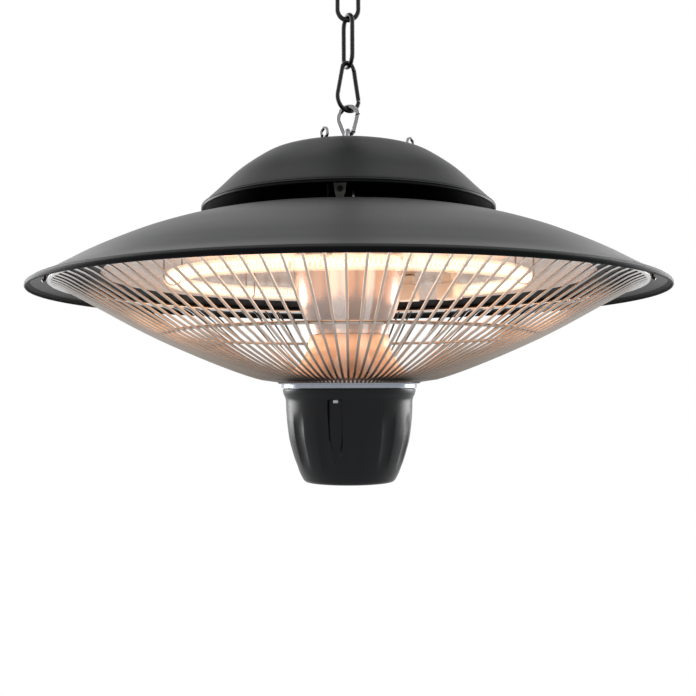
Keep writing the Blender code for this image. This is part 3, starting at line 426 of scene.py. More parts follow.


# Painted reflections on the column: lit bands are painted highlights, deep and grey bands are
# darker painted reflections, warm bands are painted lamp glow
columnPaintedReflections = {
    "marks": 1400.0, "depth": 0.00003, "near": 0.0384, "far": 0.0400,
    "tones": {"edge": (0.42, 0.38, 0.36), "warm": (0.44, 0.35, 0.31),
              "grey": (0.38, 0.34, 0.33), "deep": (0.44, 0.34, 0.29),
              "lit": (0.74, 0.68, 0.65)},
    "stops": [(0.0, "edge"), (0.03, "warm"), (0.17, "grey"), (0.31, "warm"), (0.345, "lit"),
              (0.46, "lit"), (0.49, "deep"), (0.645, "deep"), (0.67, "lit"), (0.715, "lit"),
              (0.74, "deep"), (0.97, "warm"), (1.0, "edge")],
}
# Painted reflections on the cone: lit bands are painted highlights over painted lamp glow
conePaintedReflections = {
    "marks": 500.0, "depth": 0.00001, "near": 0.0400, "far": 0.0500,
    "tones": {"warm": (0.70, 0.53, 0.42), "lit": (0.82, 0.71, 0.65)},
    "stops": [(0.0, "warm"), (0.355, "warm"), (0.385, "lit"), (0.47, "lit"), (0.50, "warm"),
              (0.59, "warm"), (0.62, "lit"), (0.70, "lit"), (0.73, "warm"), (1.0, "warm")],
}

# Colour, roughness, then shine for paint and plastic, and the grain's scale and depth
looks = {
    "blackSteel": paintLook("blackSteel", (0.007, 0.007, 0.008), 0.30, 0.30, 1500.0, 0.00003),
    "capBlack": paintLook("capBlack", (0.005, 0.0052, 0.0058), 0.38, 0.085, 2600.0, 0.00003),
    "shadeBlack": paintLook("shadeBlack", (0.006, 0.0063, 0.0072), 0.36, 0.14, 2600.0, 0.00003),
    "beadBlack": paintLook("beadBlack", (0.005, 0.0052, 0.0058), 0.50, 0.06, 2600.0, 0.00001),
    "pillarBlack": metalLook("pillarBlack", (0.10, 0.10, 0.11), 0.16, 900.0, 0.00001),
    "chrome": metalLook("chrome", (0.24, 0.24, 0.25), 0.08, 500.0, 0.00001),
    "collarChrome": metalLook("collarChrome", (0.25, 0.27, 0.31), 0.20, 400.0, 0.00001),
    "zinc": metalLook("zinc", (0.36, 0.36, 0.37), 0.28),
    "guardSteel": guardShadedLook("guardSteel", 0.30, guardShadeAndGlowTones),
    # The reflectors' base colours are the aluminium's own grey warmed with painted lamp glow
    "aluminiumWithPaintedGlow": paintedReflectionLook("aluminiumWithPaintedGlow", (0.68, 0.57, 0.50), 0.26, columnPaintedReflections),
    "coneAluminiumWithPaintedGlow": paintedReflectionLook("coneAluminiumWithPaintedGlow", (0.74, 0.56, 0.43), 0.34, conePaintedReflections),
    "cupBlack": plasticLook("cupBlack", (0.0030, 0.0033, 0.0041), 0.31, 0.21),
    "clipBlack": plasticLook("clipBlack", (0.014, 0.014, 0.015), 0.40),
    "clearPlastic": plasticLook("clearPlastic", (0.80, 0.78, 0.70), 0.22),
    "ceramic": paintLook("ceramic", (0.82, 0.80, 0.75), 0.60, 0.4, 1500.0, 0.0001),
    "boardGreen": plasticLook("boardGreen", (0.015, 0.12, 0.045), 0.40),
    "darkLens": plasticLook("darkLens", (0.035, 0.006, 0.008), 0.08),
}

glassSet = {
    "color": (0.86, 0.82, 0.75), "rough": 0.08, "alpha": 0.17, "glow": (1.0, 0.75, 0.50),
    "strength": 0.88, "ripple": 60.0, "rippleDepth": 0.0001, "rippleBump": 0.2,
}
glowWireSet = {
    "color": (0.9, 0.6, 0.3), "rough": 0.5, "grain": 300.0, "dark": (0.8, 0.5, 0.25),
    "light": (0.95, 0.7, 0.4), "glow": (1.0, 0.82, 0.60), "strength": 2.6,
}


def glowFrom(shader, color, strength):
    shader.inputs["Emission Color"].default_value = (*color, 1)
    shader.inputs["Emission Strength"].default_value = strength


def quartzLook(s):
    look, tree, shader = shaderOf("quartz", s["color"], s["rough"])
    shader.inputs["Alpha"].default_value = s["alpha"]
    glowFrom(shader, s["glow"], s["strength"])
    bumpFrom(tree, shader, grainOf(tree, s["ripple"]), s["rippleDepth"], s["rippleBump"])
    return look


def filamentLook(s):
    look, tree, shader = shaderOf("filament", s["color"], s["rough"])
    tintFrom(tree, shader, grainOf(tree, s["grain"]), s["dark"], s["light"])
    glowFrom(shader, s["glow"], s["strength"])
    return look


looks["quartz"] = quartzLook(glassSet)
looks["filament"] = filamentLook(glowWireSet)
print("materials ready:", len(looks))

# Chain and hooks
chainSet = {
    "linkWidth": 0.0175, "linkWire": 0.0016, "lowerTurn": -65.6,
    "hookWire": 0.0020, "hookLoop": 0.0090, "hookTip": 130.0, "hookBend": 0.002,
}
plateSet = {
    "edge": 0.0008, "rim": [(0, -0.0022), (-0.0010, -0.0030)],
    "boss": [(0.0105, -0.0034), (0.0082, -0.0048), (0.0075, -0.0062)],
    "bossFoot": 0.0073, "footFlat": 0.0065, "bore": 0.0024, "boreTop": -0.0060,
    "screwCircle": 0.020, "screwHead": 0.0042,
    "screw": [(0, -0.0052), (0.45, -0.0050), (0.8, -0.0043), (1, -0.0031), (1, -0.0026),
              (0, -0.0026)],
}


def buildCeilingPlate(s):
    low, high = boxOf("ceiling_plate")
    rim, edge = high.x, s["edge"]
    outline = [(0, high.z), (rim - edge, high.z), (rim, high.z - edge)]
    outline += [(rim + out, z) for out, z in s["rim"]] + s["boss"]
    outline += [(s["bossFoot"], low.z + edge), (s["footFlat"], low.z), (s["bore"], low.z),
                (s["bore"], s["boreTop"]), (0, s["boreTop"])]
    spunPiece("ceilingRose", outline, 96, "ceiling", "blackSteel",
              ["ceiling_plate"], angle=40)
    for side, label in ((-1, "left"), (1, "right")):
        screw = bmesh.new()
        spunMesh(screw, [(s["screwHead"] * share, z) for share, z in s["screw"]], 32,
                 (side * s["screwCircle"], 0, 0))
        addPiece(label + "PlateScrew", finishMesh("plateScrew", screw), "ceiling",
                 "zinc")


def buildCeilingHook(s):
    bottom, top = (corner[2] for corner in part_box("ceiling_hook"))
    loopZ = bottom + s["hookWire"] + s["hookLoop"]
    points = [Vector((0, 0, top)), Vector((0, 0, loopZ + s["hookLoop"] + s["hookBend"]))]
    points += arc((0, loopZ), s["hookLoop"], math.pi / 2,
                  math.radians(s["hookTip"]) - math.tau, 48)
    points = [Vector((0, p.x, p.z)) for p in points]
    wirePiece("ceilingEye", [points], s["hookWire"], "ceiling",
              "blackSteel", ["ceiling_hook"], sides=6)


def buildLink(name, node, body, turn, s):
    low, high = boxOf(node)
    half = s["linkWidth"] / 2 - s["linkWire"]
    top, bottom = high.z - s["linkWire"], low.z + s["linkWire"]
    path = arc((0, top - half), half, 0, math.pi, 20)
    path += arc((0, bottom + half), half, math.pi, math.tau, 20)
    wirePiece(name, [place(path, turn, origin)], s["linkWire"], body,
              "blackSteel", [node], closed=True, sides=6)


buildCeilingPlate(plateSet)
buildCeilingHook(chainSet)
buildLink("upperLink", "chain_link_upper", "link_upper", 0.0, chainSet)
buildLink("lowerLink", "chain_link_lower", "link_lower", math.radians(chainSet["lowerTurn"]),
          chainSet)

blackHookSet = {
    "name": "pearHook", "prefix": "black_snap", "body": "black_hook", "gateBody": "black_gate",
    "length": 0.0361, "wire": 0.0015, "hingeEnd": 0.0050, "noseEnd": 0.0091, "noseAngle": 8.0,
    "gate": 0.0016, "turn": 37.0, "over": False, "look": "blackSteel", "slot": "black_steel",
}
chromeHookSet = {
    "name": "chromeHook", "prefix": "chrome_snap", "body": "chrome_hook",
    "gateBody": "chrome_gate", "length": 0.0233, "wire": 0.0017, "hingeEnd": 0.0045,
    "noseEnd": 0.0075, "noseAngle": 12.0, "gate": 0.0017, "turn": -27.0, "over": True,
    "look": "chrome", "slot": "chrome",
}
hingeSet = {
    "tabThick": 0.0012, "tabRadius": 0.0012, "tabReach": 0.0030, "tabSteps": 12,
    "heel": 0.0013, "heelShape": [(0, 1), (0.7, 0.8), (1, 0.2)],
    "noseGap": 0.0004, "noseEdge": 0.0003, "noseShare": 0.85,
    "pin": 0.00045, "rivet": 1.5, "rivetOut": 0.0003, "rivetEdge": 0.0002, "rivetFace": 0.7,
}


def hookPath(s):
    # Pear outline in the hook's own plane, drawn hinge end up and turned over where it hangs so
    drop = s["length"] - 2 * s["wire"]
    lean = math.asin((s["noseEnd"] - s["hingeEnd"]) / (drop - s["hingeEnd"] - s["noseEnd"]))
    start = lean + hingeSet["tabReach"] / s["hingeEnd"]
    path = arc((0, -s["hingeEnd"]), s["hingeEnd"], start, math.pi - lean, 24)
    path += arc((0, s["noseEnd"] - drop), s["noseEnd"], math.pi - lean,
                math.tau - math.radians(s["noseAngle"]), 34)
    hinge = Vector((s["hingeEnd"] * math.cos(lean), 0,
                    s["hingeEnd"] * math.sin(lean) - s["hingeEnd"]))
    if s["over"]:
        path = [Vector((p.x, 0, -drop - p.z)) for p in path]
        hinge = Vector((hinge.x, 0, -drop - hinge.z))
    return path, hinge


def hingeTab(path, hinge, h):
    # Flat eye at the wire's end, round the hinge
    radius = h["tabRadius"]
    along = (path[0] - hinge).normalized()
    side = Vector((-along.z, 0, along.x))
    turns = [math.pi * i / h["tabSteps"] for i in range(h["tabSteps"] + 1)]
    rim = [hinge + side * radius * math.cos(t) - along * radius * math.sin(t) for t in turns]
    rim += [path[0] - side * radius, path[0] + side * radius]
    tab = bmesh.new()
    face = tab.faces.new([tab.verts.new(p + Vector((0, -h["tabThick"] / 2, 0))) for p in rim])
    grown = bmesh.ops.extrude_face_region(tab, geom=[face])
    bmesh.ops.translate(tab, vec=(0, h["tabThick"], 0), verts=vertsOf(grown))
    return tab


def buildGate(s, h, path, hinge, spin):
    # A bar with a rounded heel and a flat nose end
    span = path[-1] - hinge
    reach = span.length - hair - h["noseGap"]
    outline = [(s["gate"] * r, -h["heel"] * z) for r, z in h["heelShape"]]
    outline += [(s["gate"], reach - h["noseEdge"]), (s["gate"] * h["noseShare"], reach),
                (0, reach)]
    gate = bmesh.new()
    spunMesh(gate, outline, 24)
    lift = span.normalized().to_track_quat("Z", "Y").to_matrix().to_4x4()
    gate.transform(spin @ Matrix.Translation(hinge) @ lift)
    name = s["name"] + "Gate"
    addPiece(name, finishMesh(name, gate), s["gateBody"], s["look"],
             [s["prefix"] + "_gate"])


def buildRivet(s, h, hinge, spin):
    # Its heads stand out on both sides of the hinge
    out, head, edge = s["gate"] + h["rivetOut"], h["pin"] * h["rivet"], h["rivetEdge"]
    flat = head * h["rivetFace"]
    outline = [(0, -out), (flat, -out), (head, -out + edge), (head, out - edge), (flat, out),
               (0, out)]
    rivet = bmesh.new()
    spunMesh(rivet, outline, 16)
    rivet.transform(spin @ Matrix.Translation(hinge) @ Matrix.Rotation(math.pi / 2, 4, "X"))
    name = s["name"] + "Rivet"
    addPiece(name, finishMesh(name, rivet), s["body"], "zinc",
             [s["prefix"] + "_pin"])


def buildSnapHook(s):
    path, hinge = hookPath(s)
    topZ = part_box(s["prefix"] + "_hook")[1][2] - s["wire"]
    spin = Matrix.Translation((0, 0, topZ)) @ Matrix.Rotation(math.radians(s["turn"]), 4, "Z")
    bm = wireMesh(s["name"], [path], s["wire"], sides=6)
    mergeInto(bm, "tab", hingeTab(path, hinge, hingeSet))
    bm.transform(spin)
    addPiece(s["name"], finishMesh(s["name"], bm, 45), s["body"], s["look"],
             [s["prefix"] + "_hook"])
    buildGate(s, hingeSet, path, hinge, spin)
    buildRivet(s, hingeSet, hinge, spin)


buildSnapHook(blackHookSet)
buildSnapHook(chromeHookSet)
print("chain and hooks built")

# Cap, eyes and pillars
capSet = {
    "dome": [(0.0018, 0.1651), (0.0220, 0.1649), (0.0380, 0.1642), (0.0550, 0.1601),
             (0.0650, 0.1545), (0.0780, 0.1449), (0.0900, 0.1332), (0.0986, 0.1251)],
    "edge": [(0.0991, 0.1245), (0.0989, 0.1241), (0.0998, 0.1240), (0.1004, 0.1237),
             (0.1007, 0.1232), (0.1004, 0.1227), (0.1007, 0.1222), (0.1008, 0.1217),
             (0.1004, 0.1211), (0.0996, 0.1209)],
    "wall": 0.0010,
}
eyeSet = {"wire": 0.0016, "loop": 0.0050, "turn": 80.0, "washerEdge": 0.0002,
          "washerTop": 0.0003}
boltSet = {"count": 4, "circle": 0.0445, "first": -110.3, "wire": 0.0011, "loop": 0.0029,
           "loopTurn": 65.0, "sink": 0.0015, "pillar": 0.0026, "pillarEdge": 0.0003}


def bentEye(loop, wire, centreZ, footZ):
    # A wire that comes up from below and bends round into an eye
    mouth = (2 * wire + hair) / loop
    entry = wire / loop
    points = [Vector((0, 0, footZ)), Vector((0, 0, centreZ - loop - wire))]
    points += arc((0, centreZ), loop, entry - math.pi / 2, math.tau - math.pi / 2 - mouth, 40)
    return points


def buildCap(s):
    path = profile(s["dome"], 6) + plain(s["edge"])
    spunPiece("domeCap", sheet(path, s["wall"]), 160, "heater", "capBlack",
              ["top_cap"], angle=50)


def buildEye(s):
    low, high = boxOf("centre_eye")
    points = bentEye(s["loop"], s["wire"], high.z - s["wire"] - s["loop"], low.z)
    wirePiece("hangingEye", [place(points, math.radians(s["turn"]), origin)], s["wire"],
              "heater", "chrome", ["centre_eye"], sides=6)
    low, high = boxOf("eye_washer")
    bore, edge, top = s["wire"] + hair, s["washerEdge"], s["washerTop"]
    outline = [(bore, low.z), (high.x - edge, low.z), (high.x, low.z + edge),
               (high.x, high.z - top), (high.x - top, high.z), (bore, high.z)]
    spunPiece("eyeWasher", outline, 64, "heater", "blackSteel", ["eye_washer"])


def buildPillar(s, node, name, look, spot):
    low, high = boxOf(node)
    bore, radius, edge = s["wire"] + hair, s["pillar"], s["pillarEdge"]
    outline = [(bore, low.z), (radius - edge, low.z), (radius, low.z + edge),
               (radius, high.z - edge), (radius - edge, high.z), (bore, high.z)]
    spunPiece(name, outline, 32, "heater", look, [node], spot)


def buildBolts(s):
    for i in range(s["count"]):
        turn = math.radians(s["first"]) + math.tau * i / s["count"]
        spot = around(turn, s["circle"])
        node = f"eye_bolt_{i + 1}"
        low, high = boxOf(node)
        points = bentEye(s["loop"], s["wire"], high.z - s["sink"] - s["wire"] - s["loop"], low.z)
        wirePiece(f"boltEye{i + 1}", [place(points, turn + math.radians(s["loopTurn"]), spot)],
                  s["wire"], "heater", "chrome", [node], sides=4)
        buildPillar(s, f"upper_spacer_{i + 1}", f"upperPillar{i + 1}",
                    "pillarBlack", spot)
        buildPillar(s, f"lower_spacer_{i + 1}", f"lowerPillar{i + 1}", "zinc", spot)


glandSet = {
    "offset": 0.0250, "seat": 0.0100, "neck": 0.0045, "neckLength": 0.0060,
    "nut": [(0.0012, -0.0002), (0, 0), (0, 0.0030), (0.0005, 0.0036), (0.0008, 0.0037),
            (0.0008, 0.0070), (0.0018, 0.0088)],
    "lip": 0.0034, "mouth": 0.0030, "bore": 0.0028, "mouthEdge": 0.0010,
    "ribs": 18, "ribDepth": 0.0004, "ribFoot": 0.0037, "ribTop": 0.0089, "ribInside": 0.004,
}


def buildGland(s):
    low, high = boxOf("cable_gland")
    radius = high.x
    seat = high.z - s["seat"]
    spot = (0, s["offset"], 0)
    outline = [(s["neck"], seat - s["neckLength"])]
    outline += [(radius - inset, seat + rise) for inset, rise in s["nut"]]
    outline += [(radius - s["lip"], high.z), (s["mouth"], high.z),
                (s["bore"], high.z - s["mouthEdge"]), (s["bore"], low.z), (s["neck"], low.z)]
    bm = bmesh.new()
    spunMesh(bm, outline, 72, spot)
    middle = Vector(spot).xy
    for vert in bm.verts:
        out = vert.co.xy - middle
        ribbed = seat + s["ribFoot"] < vert.co.z < seat + s["ribTop"]
        if ribbed and out.length > s["ribInside"]:
            wave = math.cos(math.atan2(out.y, out.x) * s["ribs"])
            out *= 1 - s["ribDepth"] * max(wave, 0) / out.length
            vert.co.xy = out + middle
    addPiece("cableGland", finishMesh("cableGland", bm, 25), "heater",
             "clipBlack", ["cable_gland"])


blockSet = {
    "play": 0.0004, "hollow": 0.0011, "depth": 0.0030,
    "taper": [(0.0, 0.50), (0.0042, 0.64), (0.0075, 0.90), (0.0100, 0.97), (0.0114, 0.97),
              (0.0114, 1.05), (0.0123, 1.05)],
    "screw": 0.0019, "screwHeight": 0.0083, "screwOut": 0.0001,
    "screwShape": [(0, 0.0), (0.45, 0.0), (0.50, 0.0003), (0.60, 0.0003), (0.65, -0.0002),
                   (0.85, -0.0002), (1, 0.0004), (1.05, -0.0002), (1.05, -0.0012),
                   (0, -0.0012)],
    "twinShift": 0.0088, "twin": [(-0.0008, 0.001, 0.0030), (0.0006, 0.003, 0.0074)],
    "twinEdge": 0.0003,
}


def taperedBox(bm, middle, size, base, taper):
    # A box drawn up from its foot, its width following a list of (height, share)
    made = bmesh.ops.create_grid(bm, x_segments=1, y_segments=1, size=0.5)
    foot = made["verts"]
    bmesh.ops.scale(bm, vec=(size[0] * taper[0][1], size[1] * taper[0][1], 1), verts=foot)
    bmesh.ops.translate(bm, vec=(middle[0], middle[1], base), verts=foot)
    face = foot[0].link_faces[0]
    for (z0, share0), (z1, share1) in zip(taper, taper[1:]):
        grown = bmesh.ops.extrude_face_region(bm, geom=[face], use_keep_orig=z0 == 0.0)
        ring = vertsOf(grown)
        face = next(f for f in grown["geom"] if isinstance(f, bmesh.types.BMFace))
        bmesh.ops.translate(bm, vec=(0, 0, z1 - z0), verts=ring)
        centre = Matrix.Translation((-middle[0], -middle[1], 0))
        bmesh.ops.scale(bm, vec=(share1 / share0, share1 / share0, 1), verts=ring, space=centre)
    return face


def buildTerminalBlock(s):
    low, high = boxOf("terminal_block")
    middle = (low + high) / 2
    size = (high.x - low.x - s["play"], high.y - low.y - s["play"])
    bm = bmesh.new()
    top = taperedBox(bm, middle, size, low.z, s["taper"])
    bmesh.ops.inset_region(bm, faces=[top], thickness=s["hollow"], depth=0.0)
    grown = bmesh.ops.extrude_face_region(bm, geom=[top])
    bmesh.ops.delete(bm, geom=[top], context="FACES_ONLY")
    bmesh.ops.translate(bm, vec=(0, 0, -s["depth"]), verts=vertsOf(grown))
    addPiece("terminalBlock", finishMesh("terminalBlock", bm, 20), "heater",
             "clearPlastic", ["terminal_block"])
    screws = bmesh.new()
    spunMesh(screws, [(s["screw"] * share, z) for share, z in s["screwShape"]], 32)
    spot = (middle.x, low.y - s["screwOut"], low.z + s["screwHeight"])
    screws.transform(Matrix.Translation(spot) @ Matrix.Rotation(math.pi / 2, 4, "X"))
    twinX = middle.x + s["twinShift"]
    corners = [(twinX + x, low.y + y, low.z + z) for x, y, z in s["twin"]]
    roundBox(screws, *corners, s["twinEdge"])
    addPiece("terminalScrews", finishMesh("terminalScrews", screws), "heater",
             "zinc")


buildCap(capSet)
buildEye(eyeSet)
buildBolts(boltSet)
buildGland(glandSet)
buildTerminalBlock(blockSet)
print("cap, eyes and pillars built")

# Shade and reflectors
shadeSet = {
    "flat": (0.0330, 0.0450, 0.0580),
    "dome": [(0.0600, 0.12030), (0.0700, 0.1186), (0.0800, 0.1165), (0.0950, 0.1134),
             (0.1201, 0.1080), (0.1450, 0.0997), (0.1650, 0.0910), (0.1800, 0.0836),
             (0.1920, 0.0768), (0.2010, 0.0718), (0.2095, 0.0683)],
    "edge": [(0.2110, 0.0673), (0.2119, 0.0668), (0.2124, 0.0661), (0.2125, 0.0652),
             (0.2125, 0.0644), (0.2121, 0.0638), (0.2114, 0.0637)],
    "wall": 0.0012,
}
reflectorSet = {
    "column": [(0.0275, 0.0371), (0.0278, 0.0405), (0.0288, 0.0449), (0.0314, 0.0507),
               (0.0342, 0.0583), (0.0362, 0.0678), (0.0383, 0.0819)],
    "dish": [(0.0405, 0.0883), (0.0500, 0.08810), (0.0732, 0.0911), (0.1022, 0.0921),
             (0.1312, 0.0913), (0.1500, 0.0888), (0.1590, 0.0830), (0.1655, 0.0758)],
    "wall": 0.0008,
    "cone": [(0.0268, 0.0372), (0.0277, 0.0340), (0.0294, 0.0259), (0.0323, 0.0203),
             (0.0353, 0.0162), (0.0383, 0.0131), (0.0430, 0.0090), (0.0458, 0.0068)],
}


def buildShade(s):
    top = s["dome"][0][1]
    path = plain([(r, top) for r in s["flat"]]) + profile(s["dome"], 5)
    spunPiece("spunShade", sheet(path, s["wall"]), 220, "heater",
              "shadeBlack", ["shade"], angle=50)
    bead = plain([s["dome"][-1]] + s["edge"])
    spunPiece("rimBead", sheet(bead, s["wall"]), 220, "heater",
              "beadBlack", ["shade"], angle=50)


def buildReflectors(s):
    under = profile(s["column"], 5) + profile(s["dish"], 6)
    outline = sheet(under[::-1], s["wall"])
    spunPiece("ringReflector", outline, 200, "heater",
              "aluminiumWithPaintedGlow", ["upper_reflector"], angle=45)
    outline = sheet(profile(s["cone"], 6), s["wall"])
    spunPiece("coneReflector", outline, 128, "heater",
              "coneAluminiumWithPaintedGlow", ["lower_reflector"], angle=45)


buildShade(shadeSet)
buildReflectors(reflectorSet)
print("shade and reflectors built")

# Lamp
lampSet = {
    "ring": 0.1210, "tube": 0.0048, "wall": 0.0009, "gapTurn": 58.0, "gapHalf": 13.0,
    "sink": -0.0006, "tilt": 0.0256,
    "curls": 230, "curlSteps": 9, "curlRadius": 0.0025, "wire": 0.00028,
    "curlStart": 0.012, "curlShare": 0.976,
    "endHalf": 0.0065, "endLength": 0.0173, "endHeight": 0.0130, "endEdge": 0.0012,
    "headHalf": 0.0040, "headInset": 0.003, "headFoot": 0.0128, "headEdge": 0.0006,
    "clipWire": 0.0006, "clipPlay": 0.0004, "clipBend": 0.002,
    "clipTurns": (-160.0, -20.0, 130.0),
}


def lampLevel():
    low, high = boxOf("lamp_tube")
    return (low.z + high.z) / 2


def glassSpan(s):
    # Where the glass starts, and the turn that it covers
    return math.radians(s["gapTurn"] + s["gapHalf"]), math.tau - 2 * math.radians(s["gapHalf"])


def lampSag(s, y):
    # The ring hangs in its clips a little lower at the front than at the back
    return s["sink"] + s["tilt"] * y


def buildTube(s):
    height = lampLevel()
    start, span = glassSpan(s)
    turns = [math.tau * i / 16 for i in range(16)]
    bm = bmesh.new()
    outer, inner = [[bm.verts.new(around(start, s["ring"] + radius * math.cos(t),
                                         height + radius * math.sin(t))) for t in turns]
                    for radius in (s["tube"], s["tube"] - s["wall"])]
    for i in range(len(turns)):
        after = (i + 1) % len(turns)
        bm.faces.new((outer[i], outer[after], inner[after], inner[i]))
    bmesh.ops.spin(bm, geom=bm.verts[:] + bm.edges[:] + bm.faces[:], axis=(0, 0, 1),
                   cent=origin, angle=span, steps=120)
    for vert in bm.verts:
        vert.co.z += lampSag(s, vert.co.y)
    addPiece("quartzRing", finishMesh("quartzRing", bm), "heater", "quartz",
             ["lamp_tube"])


def buildFilament(s):
    height = lampLevel()
    start, span = glassSpan(s)
    steps = s["curls"] * s["curlSteps"]
    points = []
    for i in range(steps + 1):
        share = i / steps
        phase = math.tau * s["curls"] * share
        turn = start + span * (s["curlStart"] + s["curlShare"] * share)
        point = around(turn, s["ring"] + s["curlRadius"] * math.cos(phase),
                       height + s["curlRadius"] * math.sin(phase))
        points.append(point + Vector((0, 0, lampSag(s, point.y))))
    wirePiece("glowWire", [points], s["wire"], "heater", "filament",
              ["filament_coil"], sides=0)


def buildLampEnds(s):
    for i, way in ((1, 1), (2, -1)):
        node = f"lamp_end_{i}"
        low, high = boxOf(node)
        turn = math.radians(s["gapTurn"] + way * s["gapHalf"])
        foot = low.z + lampSag(s, s["ring"] * math.sin(turn))
        near, far = sorted((-way * hair, -way * s["endLength"]))
        bm = bmesh.new()
        roundBox(bm, (s["ring"] - s["endHalf"], near, foot),
                 (s["ring"] + s["endHalf"], far, foot + s["endHeight"]), s["endEdge"], 3)
        roundBox(bm, (s["ring"] - s["headHalf"], near + s["headInset"], foot + s["headFoot"]),
                 (s["ring"] + s["headHalf"], far - s["headInset"], high.z), s["headEdge"])
        bm.transform(Matrix.Rotation(turn, 4, "Z"))
        addPiece(f"ceramicEnd{i}", finishMesh(node, bm), "heater", "ceramic",
                 [node])


def buildLampClips(s):
    half = s["tube"] + s["clipPlay"] + s["clipWire"]
    left, right = s["ring"] - half, s["ring"] + half
    for i, turn in enumerate(s["clipTurns"]):
        node = f"lamp_clip_{i + 1}"
        top = boxOf(node)[1].z
        level = lampLevel() + lampSag(s, s["ring"] * math.sin(math.radians(turn)))
        bend = level + s["clipBend"]
        path = [Vector((left, 0, top)), Vector((left, 0, bend))]
        path += arc((s["ring"], level), half, -math.pi, 0, 24)
        path += [Vector((right, 0, bend)), Vector((right, 0, top))]
        wirePiece(f"lampClip{i + 1}", [place(path, math.radians(turn), origin)],
                  s["clipWire"], "heater", "zinc", [node])


buildTube(lampSet)
buildFilament(lampSet)
buildLampEnds(lampSet)
buildLampClips(lampSet)
print("lamp built")

# Guard
guardSet = {
    "ring": 0.1977, "ringHeight": 0.0698, "ringWire": 0.0019, "wires": 112, "wire": 0.00085,
    "firstTurn": -90.4,
    "path": [(0.1977, 0.0690), (0.1905, 0.0667), (0.1840, 0.0634), (0.1650, 0.0532),
             (0.1470, 0.0433), (0.1290, 0.0342), (0.1100, 0.0257), (0.0950, 0.0194),
             (0.0820, 0.0143), (0.0700, 0.0100), (0.0600, 0.0071), (0.0492, 0.0055),
             (0.0478, 0.0042)],
    "middleRing": 0.1290, "middleSink": 0.0008, "middleWire": 0.0011,
    "hook": [(0.1996, 0.0696), (0.2025, 0.0689), (0.2042, 0.0665), (0.2045, 0.0643),
             (0.2062, 0.0635)],
    "hookWire": 0.0008, "hookTurns": (-30.0, 30.0, 150.0, -150.0),
}


def ringPoints(radius, height, count):
    return [around(math.tau * i / count, radius, height) for i in range(count)]


def buildGuard(s):
    path = profile(s["path"], 2)
    runs = []
    for i in range(s["wires"]):
        turn = math.radians(s["firstTurn"]) + math.tau * i / s["wires"]
        runs.append([around(turn, r, z) for r, z in path])
    bm = wireMesh("guardWires", runs, s["wire"], sides=2)
    ring = ringPoints(s["ring"], cupTop + s["ringHeight"], 220)
    mergeInto(bm, "guardRing", wireMesh("guardRing", [ring], s["ringWire"], True, 4))
    addPiece("guardCage", finishMesh("guardCage", bm, 50), "heater",
             "guardSteel", ["wire_guard"])
    low, high = boxOf("guard_middle_ring")
    band = ringPoints(s["middleRing"], (low.z + high.z) / 2 - s["middleSink"], 160)
    wirePiece("guardBand", [band], s["middleWire"], "heater",
              "guardSteel", ["guard_middle_ring"], closed=True)
    for i, turn in enumerate(s["hookTurns"]):
        points = [around(math.radians(turn), r, z) for r, z in profile(s["hook"])]
        wirePiece(f"rimHook{i + 1}", [points], s["hookWire"], "heater",
                  "blackSteel", [f"guard_clip_{i + 1}"])


buildGuard(guardSet)
print("guard built")

# Collar and cup
collarSet = {
    "outline": [(0.0053, 0.0013), (0.0440, 0.0013), (0.0449, 0.0020), (0.0454, 0.0048),
                (0.0459, 0.0059), (0.0464, 0.0061), (0.0469, 0.0056), (0.0473, 0.0046),
                (0.0475, 0.0040), (0.0473, 0.0034), (0.0467, 0.0030), (0.0467, 0.0009),
                (0.0465, 0.0007), (0.0425, 0.0007), (0.0425, 0.0003), (0.0053, 0.0003)],
}
cupSet = {
    "height": 0.0640, "wall": 0.0022, "floor": 0.0025, "floorEdge": 0.001,
    "outer": [(0.0450, 0.0005), (0.0451, 0.0001), (0.0458, -0.0001), (0.0458, -0.0012),
              (0.0452, -0.0037), (0.0442, -0.0057), (0.0437, -0.0080), (0.0436, -0.0120),
              (0.0434, -0.0170), (0.0430, -0.0225), (0.0423, -0.0287), (0.0417, -0.0329),
              (0.0409, -0.0370), (0.0398, -0.0411), (0.0386, -0.0453), (0.0373, -0.0494),
              (0.0357, -0.0536), (0.0341, -0.0577), (0.0326, -0.0607), (0.0317, -0.0623),
              (0.0302, -0.0636), (0.0280, -0.0640)],
    "base": (0.0063, 0.0150, 0.0220), "carveEnd": -0.0636,
    "flutes": 12, "firstFlute": -82.5, "fluteDepth": 0.0011, "fluteHalf": 7.5,
    "fluteTop": -0.0150, "fluteBottom": -0.0560, "fadeTop": 0.010, "fadeBottom": 0.012,
    "channels": 3, "firstChannel": -102.6, "channelCircle": 0.0420, "channelRadius": 0.0045,
    "channelTop": -0.0070, "channelTurn": 0.4,
}


def radiusAt(path, z):
    for (r0, z0), (r1, z1) in zip(path, path[1:]):
        if min(z0, z1) <= z <= max(z0, z1) and z0 != z1:
            return r0 + (r1 - r0) * (z - z0) / (z1 - z0)
    return path[-1][0]


def nearestTurn(turn, first, count):
    pitch = math.tau / count
    return (turn - first + pitch / 2) % pitch - pitch / 2


def smoothStep(value, low, high):
    share = min(max((value - low) / (high - low), 0), 1)
    return share * share * (3 - 2 * share)


def cupOutline(s, outer):
    bottom = cupTop - s["height"]
    floor = bottom + s["floor"]
    inner = [(r - s["wall"], z) for r, z in outer if z > bottom + s["floor"] * 2]
    outline = [(r, bottom) for r in s["base"]] + outer[::-1] + inner
    return outline + [(inner[-1][0] - s["floorEdge"], floor), (s["base"][0], floor)]


